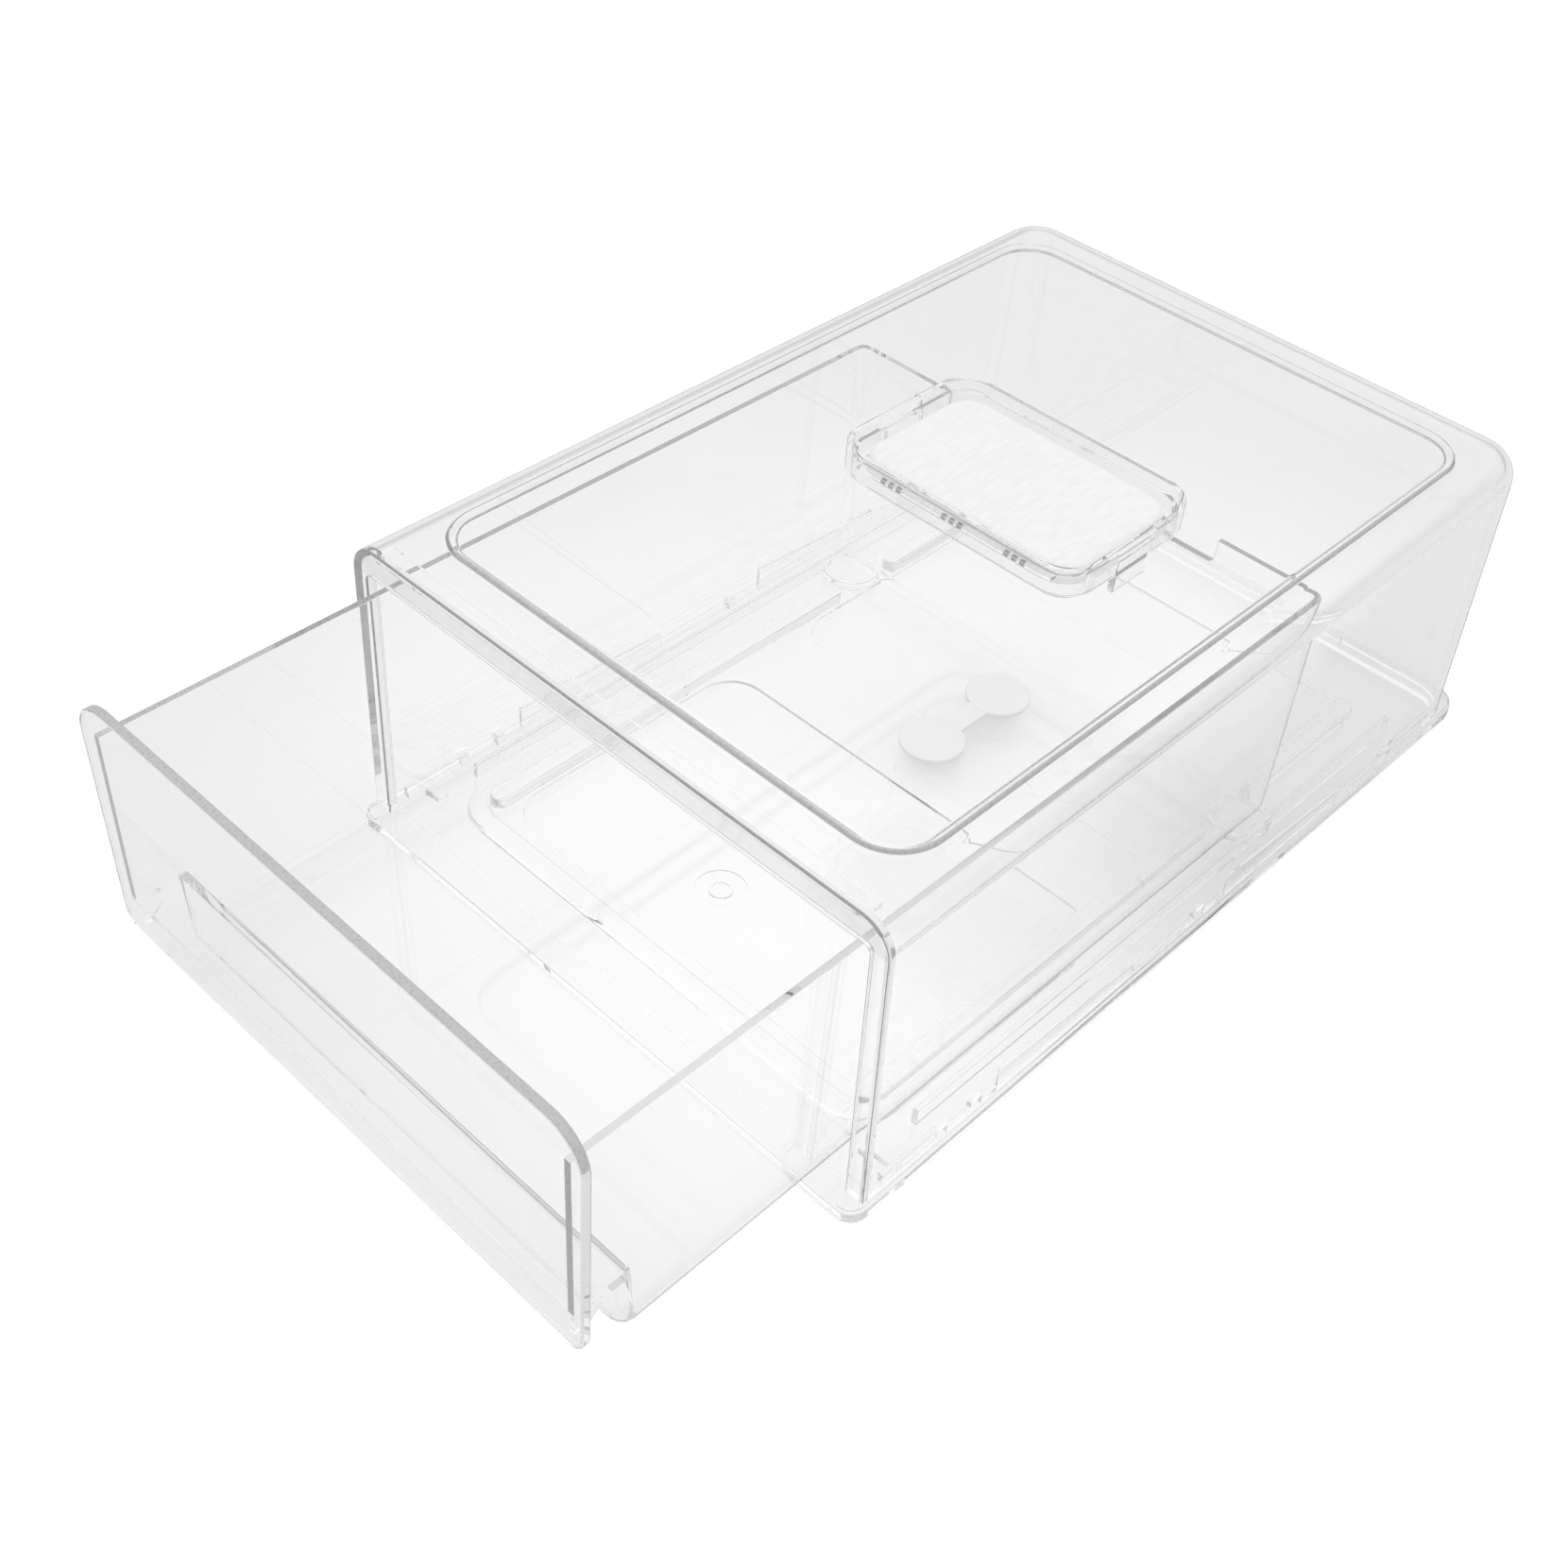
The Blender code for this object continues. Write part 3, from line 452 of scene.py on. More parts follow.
class NodeBench:
    """Small helper that lays out nodes in a tree."""

    def __init__(self, tree: bpy.types.NodeTree) -> None:
        """Take the tree to work on."""
        self.tree = tree

    def add(self, kind: str, **values: object) -> bpy.types.Node:
        """Add a node and set its input sockets by name.

        Args:
            kind: Node type.
            values: Socket values, with spaces in the names written as underscores.

        Returns:
            The node.
        """
        node = self.tree.nodes.new(kind)
        for name, value in values.items():
            node.inputs[name.replace("_", " ")].default_value = value
        return node

    def link(self, source: Socket, target: Socket) -> None:
        """Join two sockets."""
        self.tree.links.new(source, target)

    def noise(self, scale: float, detail: float, stretch: Point = (1, 1, 1)) -> Socket:
        """Add a noise texture that is fixed to the object.

        Args:
            scale: Grains in a metre.
            detail: Finer octaves.
            stretch: Scale along each axis.

        Returns:
            The noise, between 0 and 1.
        """
        place = self.add("ShaderNodeTexCoord")
        turn = self.add("ShaderNodeMapping", Scale=stretch)
        grain = self.add("ShaderNodeTexNoise", Scale=scale, Detail=detail)
        self.link(place.outputs["Object"], turn.inputs["Vector"])
        self.link(turn.outputs["Vector"], grain.inputs["Vector"])
        return grain.outputs["Fac"]

    def ramp(
        self, source: Socket, span: Span, values: Span, smooth: bool = True
    ) -> Socket:
        """Lead a value from one number to another.

        Args:
            source: Value to follow.
            span: Where the change begins and ends.
            values: Numbers before and after it.
            smooth: Ease the change at both ends.

        Returns:
            The led value.
        """
        ease = self.add(
            "ShaderNodeMapRange",
            From_Min=span[0], From_Max=span[1], To_Min=values[0], To_Max=values[1],
        )
        ease.interpolation_type = "SMOOTHSTEP" if smooth else "LINEAR"
        self.link(source, ease.inputs["Value"])
        return ease.outputs["Result"]

    def remap(self, source: Socket, low: float, high: float) -> Socket:
        """Spread the middle of a noise between two numbers."""
        return self.ramp(source, (0.3, 0.7), (low, high), smooth=False)

    def combine(self, operation: str, *terms: Socket | float) -> Socket:
        """Combine values by arithmetic.

        Args:
            operation: Its name.
            terms: Sockets or plain numbers.

        Returns:
            The result.
        """
        step = self.add("ShaderNodeMath")
        step.operation = operation
        for place, term in zip(step.inputs, terms):
            if isinstance(term, Socket):
                self.link(term, place)
            else:
                place.default_value = term
        return step.outputs[0]

    def blend(
        self, share: Socket, first: Colour | Socket, second: Colour
    ) -> Socket:
        """Blend two colours.

        Args:
            share: How much of the second colour is taken.
            first: Colour at a share of 0.
            second: Colour at a share of 1.

        Returns:
            The blended colour.
        """
        mix = self.add("ShaderNodeMix")
        mix.data_type = "RGBA"
        if isinstance(first, Socket):
            self.link(first, mix.inputs[6])
        else:
            mix.inputs[6].default_value = (*first, 1)
        mix.inputs[7].default_value = (*second, 1)
        self.link(share, mix.inputs[0])
        return mix.outputs[2]

    def seen(self, otherwise: Socket, level: float) -> Socket:
        """Set a strength that the camera sees, beside the one that all other rays meet.

        Args:
            otherwise: Strength for all other rays.
            level: Strength for the camera's.

        Returns:
            The strength for the ray.
        """
        path = self.add("ShaderNodeLightPath")
        choice = self.add("ShaderNodeMix")
        choice.inputs[3].default_value = level
        self.link(path.outputs["Is Camera Ray"], choice.inputs[0])
        self.link(otherwise, choice.inputs[2])
        return choice.outputs[0]


class FinishBench(NodeBench):
    """Bench for one material, which starts with the standard shader."""

    def __init__(self, name: str) -> None:
        """Start a material.

        Args:
            name: Name of the material.
        """
        self.material = bpy.data.materials.new(name)
        self.material.use_nodes = True
        super().__init__(self.material.node_tree)
        self.shader = self.tree.nodes["Principled BSDF"]

    def set(self, **values: object) -> None:
        """Set sockets of the standard shader."""
        for name, value in values.items():
            self.shader.inputs[name.replace("_", " ")].default_value = value

    def feed(self, name: str, source: Socket) -> None:
        """Lead a value into a socket of the standard shader."""
        self.link(source, self.shader.inputs[name])

    def bump(
        self, source: Socket, depth: float, strength: float,
        before: Socket | None = None,
    ) -> Socket:
        """Add a bump to the standard shader's normal.

        Args:
            source: Height between 0 and 1.
            depth: Height of the relief in metres.
            strength: How much of it is used.
            before: Normal of an earlier bump.

        Returns:
            The bumped normal.
        """
        relief = self.add("ShaderNodeBump", Strength=strength, Distance=depth)
        self.link(source, relief.inputs["Height"])
        if before is not None:
            self.link(before, relief.inputs["Normal"])
        self.feed("Normal", relief.outputs["Normal"])
        return relief.outputs["Normal"]

    def mixed(self, kind: str, *parts: Socket) -> bpy.types.Material:
        """Combine the parts of a finish in one last node.

        Args:
            kind: Type of the last node.
            parts: What its inputs take, in order.

        Returns:
            The finished material.
        """
        last = self.add(kind)
        for part, place in zip(parts, last.inputs):
            self.link(part, place)
        self.link(last.outputs[0], self.tree.nodes["Material Output"].inputs["Surface"])
        return self.material


@dataclass(frozen=True)
class ClearPlastic:
    """Clear moulded plastic, with the faint flow waves of its mould.

    Light from the lamps passes straight through it. A ray that has echoed inside a wall too
    often leaves with an even grey painted as shade, and one that only grazes the surface leaves
    with a darker grey painted as shade along its contour.
    """

    name: str
    # Colour of the plastic; the header band's copy sets it grey as painted shade.
    tint_and_painted_shade: Colour = (0.992, 0.992, 0.992)
    haze: float = 0.985
    passed: Colour = (0.993, 0.993, 0.993)
    # Painted shade: grey for rays that have echoed too often inside a wall.
    echo_painted_shade: Colour = (0.90, 0.90, 0.90)
    most_echoes: float = 4.5
    # Painted shade: dark grey on faces seen at a grazing angle, with the facing span over which it
    # comes in.
    painted_outline_shade: Colour = (0.42, 0.42, 0.42)
    painted_outline_span: Span = (0.78, 0.95)

    def make(self) -> bpy.types.Material:
        """Make the material.

        Returns:
            The material.
        """
        bench = FinishBench(self.name)
        bench.set(Roughness=0.0, IOR=PLASTIC_INDEX, Transmission_Weight=1.0)
        cloud = bench.noise(scale=11.0, detail=2.0, stretch=(1.0, 0.6, 1.0))
        hazy = tuple(self.haze * part for part in self.tint_and_painted_shade)
        bench.feed("Base Color", bench.blend(bench.remap(cloud, 0.0, 1.0), hazy, self.tint_and_painted_shade))
        flow = bench.noise(scale=26.0, detail=1.0, stretch=(1.0, 0.55, 1.0))
        bench.bump(flow, depth=0.0006, strength=0.05)
        path = bench.add("ShaderNodeLightPath")
        shadow, diffuse = path.outputs["Is Shadow Ray"], path.outputs["Is Diffuse Ray"]
        lamp = bench.combine("MAXIMUM", shadow, diffuse)
        # Rays that have echoed too often, or graze the surface, leave through a transparent shader
        # painted grey as shade.
        caught = bench.combine("GREATER_THAN", path.outputs["Glossy Depth"], self.most_echoes)
        facing = bench.add("ShaderNodeLayerWeight", Blend=0.5)
        graze = bench.ramp(facing.outputs["Facing"], self.painted_outline_span, (0.0, 1.0))
        passing = bench.combine("MAXIMUM", bench.combine("MAXIMUM", lamp, caught), graze)
        inside = bench.blend(caught, self.passed, self.echo_painted_shade)
        open_air = bench.add("ShaderNodeBsdfTransparent")
        bench.link(bench.blend(graze, inside, self.painted_outline_shade), open_air.inputs["Color"])
        return bench.mixed(
            "ShaderNodeMixShader", passing, bench.shader.outputs[0], open_air.outputs[0]
        )


@dataclass(frozen=True)
class PaintedEdgeShade:
    """Narrow edge of a clear wall, painted an even grey as shade for the light that it gathers
    from the wall.
    """

    name: str
    colour: Colour = (0.52, 0.52, 0.52)

    def make(self) -> bpy.types.Material:
        """Make the material.

        Returns:
            The material.
        """
        bench = FinishBench(self.name)
        bench.set(IOR=PLASTIC_INDEX, Transmission_Weight=0.10, Specular_IOR_Level=0.5)
        streak = bench.noise(scale=900.0, detail=2.0)
        deep, pale = (tuple(k * part for part in self.colour) for k in (0.94, 1.05))
        bench.feed("Base Color", bench.blend(bench.remap(streak, 0.0, 1.0), deep, pale))
        bench.feed("Roughness", bench.remap(streak, 0.26, 0.32))
        return bench.material


@dataclass(frozen=True)
class SoftSilicone:
    """Matte translucent silicone with a fine moulded grain."""

    name: str
    colour: Colour = (0.985, 0.985, 0.985)

    def make(self) -> bpy.types.Material:
        """Make the material.

        Returns:
            The material.
        """
        bench = FinishBench(self.name)
        bench.set(Base_Color=(*self.colour, 1), IOR=1.41, Transmission_Weight=0.06)
        cloud = bench.noise(scale=190.0, detail=3.0)
        bench.feed("Roughness", bench.remap(cloud, 0.42, 0.60))
        grain = bench.noise(scale=2600.0, detail=2.0)
        bench.bump(grain, depth=0.00006, strength=0.35)
        return bench.material


@dataclass(frozen=True)
class PressedFibre:
    """White pressed fibre with short crossing strands."""

    name: str
    pale: Colour = (0.955, 0.955, 0.95)
    deep: Colour = (0.875, 0.88, 0.88)

    def make(self) -> bpy.types.Material:
        """Make the material.

        Returns:
            The material.
        """
        bench = FinishBench(self.name)
        bench.set(Roughness=0.95, Specular_IOR_Level=0.2, Sheen_Weight=0.15, Sheen_Roughness=0.6)
        long, cross = (
            bench.noise(scale=900.0, detail=3.0, stretch=run)
            for run in ((1.0, 0.16, 1.0), (0.16, 1.0, 1.0))
        )
        bench.feed("Base Color", bench.blend(bench.remap(long, 0.0, 1.0), self.deep, self.pale))
        first = bench.bump(long, depth=0.0001, strength=0.2)
        bench.bump(cross, depth=0.0001, strength=0.2, before=first)
        return bench.material


@dataclass(frozen=True)
class StudioFloor:
    """White floor that the camera sees evenly white. To rays that come through the clear walls it
    is pale grey with a painted glow round a middle point, less a painted shadow to the right and
    back.
    """

    name: str
    grey: float = 0.80
    lift: float = 0.30
    # Painted glow seen through the walls, fading from the middle point, and the reach of its fade.
    painted_glow_behind: Span = (0.235, 0.03)
    painted_glow_fade: Span = (0.09, 0.29)
    middle: Point = (0.02, -0.02, 0.0)
    # Painted shadow seen through the walls, to the right and back.
    shade: float = 0.29
    shade_x: Span = (0.04, 0.08)
    shade_y: Span = (-0.12, 0.10)

    def make(self) -> bpy.types.Material:
        """Make the material.

        Returns:
            The material.
        """
        bench = FinishBench(self.name)
        bench.tree.nodes.remove(bench.shader)
        matt = bench.add("ShaderNodeBsdfDiffuse", Color=(self.grey, self.grey, self.grey, 1))
        place = bench.add("ShaderNodeTexCoord").outputs["Object"]
        reach = bench.add("ShaderNodeVectorMath")
        reach.operation = "DISTANCE"
        reach.inputs[1].default_value = self.middle
        bench.link(place, reach.inputs[0])
        split = bench.add("ShaderNodeSeparateXYZ")
        bench.link(place, split.inputs[0])
        # Painted glow round the middle point, less a painted shadow to the right and back, for
        # rays other than the camera's.
        near = bench.ramp(reach.outputs["Value"], self.painted_glow_fade, self.painted_glow_behind)
        right = bench.ramp(split.outputs["X"], self.shade_x, (0.0, self.shade))
        rear = bench.ramp(split.outputs["Y"], self.shade_y, (0.0, 1.0))
        shaded = bench.combine("SUBTRACT", near, bench.combine("MULTIPLY", right, rear))
        level = bench.seen(bench.combine("MAXIMUM", shaded, 0.0), self.lift)
        path = bench.add("ShaderNodeLightPath")
        kept = bench.combine("SUBTRACT", 1.0, path.outputs["Is Diffuse Ray"])
        glow = bench.add("ShaderNodeEmission")
        bench.link(bench.combine("MULTIPLY", level, kept), glow.inputs["Strength"])
        return bench.mixed("ShaderNodeAddShader", matt.outputs[0], glow.outputs[0])


# Sub-assemblies


@dataclass
class Moulding:
    """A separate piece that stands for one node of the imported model."""

    name: str
    node: str
    body: Body
    slot: str
    material: bpy.types.Material
    # Materials of the painted shade, by kind of place.
    painted_shades: dict[PaintedShade, bpy.types.Material] = field(default_factory=dict)
    crisp: float = 33.0

    def shape(self) -> Piece:
        """Build the piece, which each kind of piece does in its own way."""
        raise NotImplementedError

    def make(self) -> None:
        """Build, finish and mount the piece."""
        piece = self.shape()
        piece.name = self.name
        piece.data.name = self.name
        self.dress(piece)
        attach(piece, self.body.value)
        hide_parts(self.node)
        LOG.info("%s: %d faces", piece.name, len(piece.data.polygons))

    def dress(self, piece: Piece) -> None:
        """Smooth the piece, give it its materials and paint shade on its chosen faces.

        Args:
            piece: The shaped piece.
        """
        smooth(piece, self.crisp)
        piece.data.materials.append(self.material)
        for painted_shade, test in self.painted_shade_faces().items():
            tint_faces(piece, self.painted_shades[painted_shade], test)

    def painted_shade_faces(self) -> dict[PaintedShade, Test]:
        """Return the places of the piece painted as shade, each with the test of its faces."""
        return {}


@dataclass
class Hood(Moulding):
    """Clear hood: top, sides and back, with its front rim, raised top and collar."""

    half_top: float = 0.1040
    half_foot: float = 0.1069
    back: float = 0.1553
    back_draft: float = 0.0009
    seam: float = 0.0050
    height: float = 0.1101
    wall: float = 0.0024
    edge_radius: float = 0.0098
    corner_radius: float = 0.0150
    rim_depth: float = 0.0035
    rim_round: float = 0.0006
    rim_side_top: float = 0.0060
    rim_side_foot: float = 0.0066
    rim_header: float = 0.0095
    opening_radius: float = 0.0022
    opening_round: float = 0.0005
    band_depth: float = 0.0040
    band_drop: float = 0.0014
    plateau_half: float = 0.0916
    plateau_front: float = RIM_Y + 0.0165
    plateau_back: float = 0.1358
    plateau_rise: float = 0.0014
    plateau_radius: float = 0.0160
    plateau_round: float = 0.0010
    plateau_foot_round: float = 0.0005
    foot_margin: float = 0.0012
    collar_half: Span = (0.04775, 0.0318)
    collar_y: float = 0.0172
    collar_radius: float = 0.0120
    collar_wall: float = 0.0018
    collar_foot: float = 0.0995
    collar_round: float = 0.0004
    collar_gap: Span = (0.0036, 0.0190)
    step_reach: float = 0.0006
    step_from: float = RIM_Y + 0.0120
    step_flat: float = 0.93
    far_flat: float = 0.99
    far_turn: float = 0.15
    inner_turn: Span = (-0.985, -0.08)
    outer_turn: Span = (-0.9, -0.3)
    down_turn: float = -0.5
    side_turn: float = 0.9
    window_half: float = 0.0018
    window_top: float = 0.0088
    seat_outer: float = 0.1055
    seat_gap: float = 0.0003
    seat_tops: Span = (0.0133, 0.0093)

    def half_at(self, height: float) -> float:
        """Half width of the outside at a height."""
        return self.half_foot - (self.half_foot - self.half_top) * height / self.height

    def back_at(self, height: float) -> float:
        """Outer back plane at a height."""
        return self.back + self.back_draft * (1 - height / self.height)

    def skin(self, name: str, inset: float, low: float, front: float) -> Piece:
        """Add the drafted solid of the hood, or of its inner space.

        Args:
            name: Name of the solid.
            inset: Distance inside the outer face.
            low: Lowest level.
            front: Front plane.

        Returns:
            The solid.
        """
        top = self.height - inset
        half = self.half_at(low) - inset
        rear = self.back_at(low) - inset
        piece = slab(name, half, (front, rear), (low, top))
        narrow = (self.half_at(top) - inset) / half
        scale_faces(piece, at(Z, top), (narrow, 1, 1), (0, front, top))
        lean = (0, self.back_at(top) - inset - rear, 0)
        shift_edges(piece, lambda spot: spot.near(Z, top) and spot.near(Y, rear), lean)
        corner, edge = self.corner_radius - inset, self.edge_radius - inset
        round_edges(piece, lambda spot: spot.along(Z) and spot.middle.y > 0, corner, steps=14)
        round_edges(piece, at_except(Z, top, Y, front), edge, steps=12)
        return piece

    def plateau(self, name: str, inset: float, low: float, high: float) -> Piece:
        """Add the raised panel of the top, or the recess below it.

        Args:
            name: Name of the solid.
            inset: Distance inside the panel's outline.
            low: Lowest level.
            high: Highest level.

        Returns:
            The solid.
        """
        depth = (self.plateau_front + inset, self.plateau_back - inset)
        piece = slab(name, self.plateau_half - inset, depth, (low, high))
        with_corners(piece, self.plateau_radius - inset, steps=14)
        round_level(piece, high, self.plateau_round, steps=4)
        return piece

    def opening(self) -> Piece:
        """Add the cutter for the front opening, which is wider at its foot.

        Returns:
            The cutter.
        """
        top = self.height - self.rim_header
        low = self.seam - OVERRUN
        half_top = self.half_top - self.rim_side_top
        half_foot = self.half_foot - self.rim_side_foot
        half = half_top + (half_foot - half_top) * (top - low) / top
        depth = (RIM_Y - OVERRUN, RIM_Y + self.rim_depth + OVERRUN)
        piece = slab("opening", half, depth, (low, top))
        scale_faces(piece, at(Z, top), (half_top / half, 1, 1), (0, 0, top))
        round_edges(piece, running(Y, Z, top), self.opening_radius, steps=10)
        return piece

    def collar(self, name: str, inset: float, low: float, high: float) -> Piece:
        """Add the block of the collar, or of its inner space.

        Args:
            name: Name of the block.
            inset: Distance inside the collar's outline.
            low: Lowest level.
            high: Highest level.

        Returns:
            The block.
        """
        half_x, half_y = (half - inset for half in self.collar_half)
        ring = slab(name, half_x, around(self.collar_y, half_y), (low, high))
        with_corners(ring, self.collar_radius - inset, steps=10)
        if not inset:
            round_level(ring, low, self.collar_round)
        return ring

    def shape(self) -> Piece:
        """Build the hood.

        Returns:
            The hood's mesh.
        """
        hood = self.skin("hood", 0.0, self.seam, RIM_Y)
        round_edges(hood, at_except(Y, RIM_Y, Z, self.seam), self.rim_round, steps=3)
        top = self.height + self.plateau_rise
        join(hood, self.plateau("plateau", 0.0, self.height - FUSE, top))
        round_edges(hood, self.on_plateau_foot, self.plateau_foot_round, steps=3)
        inner_front = RIM_Y + self.rim_depth
        ceiling = self.height - self.wall
        cut(hood, self.skin("space", self.wall, self.seam - OVERRUN, inner_front))
        cut(hood, self.opening())
        round_edges(hood, self.on_opening, self.opening_round, steps=3)
        roof = ceiling + self.plateau_rise
        cut(hood, self.plateau("recess", self.wall, ceiling - OVERRUN, roof))
        join(hood, slab(
            "band", self.half_at(ceiling) - self.edge_radius,
            (inner_front - FUSE, inner_front + self.band_depth),
            (ceiling - self.band_drop, ceiling + FUSE),
        ))
        self.add_collar(hood, ceiling, roof)
        self.cut_seats(hood)
        split_faces(hood, lambda spot: spot.fronts(RIM_Y), self.height - self.rim_header)
        return hood

    def within_opening(self, spot: Spot) -> bool:
        """Tell whether a place is no further out than the sides of the opening."""
        reach = self.half_foot - self.rim_side_foot + self.opening_round
        return abs(spot.middle.x) < reach

    def on_opening(self, spot: Spot) -> bool:
        """Tell whether an edge outlines the front opening.

        Args:
            spot: Place of the edge.

        Returns:
            Whether it does.
        """
        plane = spot.near(Y, RIM_Y) or spot.near(Y, RIM_Y + self.rim_depth)
        level = self.seam + TINY < spot.middle.z < self.height - self.rim_header + TINY
        return self.within_opening(spot) and plane and level

    def on_plateau_foot(self, spot: Spot) -> bool:
        """Tell whether an edge is on the foot line of the raised panel.

        Args:
            spot: Place of the edge.

        Returns:
            Whether it is.
        """
        inside = abs(spot.middle.x) < self.plateau_half + TINY
        depth = self.plateau_front - TINY < spot.middle.y < self.plateau_back + self.foot_margin
        return inside and depth and spot.near(Z, self.height)

    def painted_shade_faces(self) -> dict[PaintedShade, Test]:
        """Choose the faces that are painted grey as shade.

        Returns:
            The panel's step, and the faces and the outlines of the rim, with their tests.
        """
        # Painted shade: light grey on the panel's step, a faint grey band on the header and
        # opening sides, grey on the rim's contour and the far step.
        return {
            PaintedShade.EDGE: self.on_step,
            PaintedShade.BAND: lambda spot: self.on_header(spot) or self.in_opening(spot),
            PaintedShade.RIM: lambda spot: self.on_outline(spot) or self.on_far_step(spot),
        }

    def on_outline(self, spot: Spot) -> bool:
        """Tell whether a face rounds the rim's front, outside or at the sides of the opening.

        Args:
            spot: Place of the face.

        Returns:
            Whether it does.
        """
        front = RIM_Y < spot.middle.y < RIM_Y + self.rim_round
        least, most = self.inner_turn if self.within_opening(spot) else self.outer_turn
        return front and least < spot.line.y < most and spot.line.z > self.down_turn

    def round_panel(self, spot: Spot) -> bool:
        """Tell whether a face lies between the raised panel and the top round it.

        Args:
            spot: Place of the face.

        Returns:
            Whether it does.
        """
        inside = abs(spot.middle.x) < self.plateau_half + self.step_reach
        low, high = self.height - TINY, self.height + self.plateau_rise - TINY
        return inside and low < spot.middle.z < high and spot.middle.y > self.step_from

    def on_step(self, spot: Spot) -> bool:
        """Tell whether a face is on the step of the raised panel."""
        return self.round_panel(spot) and abs(spot.line.z) < self.step_flat

    def on_far_step(self, spot: Spot) -> bool:
        """Tell whether a face is on the step of the raised panel, at its back or its left."""
        far = spot.line.y > self.far_turn or spot.line.x < -self.far_turn
        return far and self.round_panel(spot) and abs(spot.line.z) < self.far_flat

    def in_opening(self, spot: Spot) -> bool:
        """Tell whether a face is on a side of the opening, across the rim's depth.

        Args:
            spot: Place of the face.

        Returns:
            Whether it is.
        """
        margin = self.opening_round
        depth = RIM_Y + margin < spot.middle.y < RIM_Y + self.rim_depth - margin
        return depth and self.within_opening(spot) and abs(spot.line.x) > self.side_turn

    def on_header(self, spot: Spot) -> bool:
        """Tell whether a face is on the front of the rim, over the opening."""
        return spot.fronts(RIM_Y) and spot.middle.z > self.height - self.rim_header

    def add_collar(self, hood: Piece, ceiling: float, roof: float) -> None:
        """Hang the collar under the top, open at both ends for the cup's tabs.

        Args:
            hood: The hood.
            ceiling: Level of the ceiling round the recess.
            roof: Level of the recess, where the collar begins.
        """
        join(hood, self.collar("collar", 0.0, self.collar_foot, roof + FUSE))
        cut(hood, self.collar("collar_space", self.collar_wall, self.collar_foot - OVERRUN, roof))
        depth, width = self.collar_gap
        half = self.collar_half[0]
        gap = block(
            "gap", (half - depth, half + OVERRUN), around(self.collar_y, width / 2),
            (self.collar_foot - OVERRUN, ceiling),
        )
        cut(hood, *both_sides(gap))

    def cut_seats(self, hood: Piece) -> None:
        """Cut the windows for the clips and the seats for the lock tongues.

        Args:
            hood: The hood.
        """
        outer, low = self.half_at(self.seam), self.seam - OVERRUN
        across = (outer - self.wall - OVERRUN, outer + OVERRUN)
        for place in CLIP_PLACES:
            depth = around(place, self.window_half)
            cut(hood, *both_sides(block("window", across, depth, (low, self.window_top))))
        across = (self.seat_outer - OVERRUN, self.seat_outer)
        for front in TONGUE_FRONTS:
            depth = (front - self.seat_gap, front + TONGUE_LENGTH + self.seat_gap)
            cut(hood, *both_sides(wedge("seat", across, depth, low, self.seat_tops)))


def wedge(name: str, across: Span, depth: Span, foot: float, tops: Span) -> Piece:
    """Add an upright plate whose top slopes down to the back.

    Args:
        name: Name of the plate.
        across: Its left and right faces.
        depth: Its front and back ends.
        foot: Its lowest level.
        tops: Its height at the front and at the back.

    Returns:
        The plate.
    """
    piece = block(name, across, depth, (foot, tops[0]))
    fall = (0, 0, tops[1] - tops[0])
    shift_edges(piece, lambda spot: spot.near(Z, tops[0]) and spot.near(Y, depth[1]), fall)
    return piece


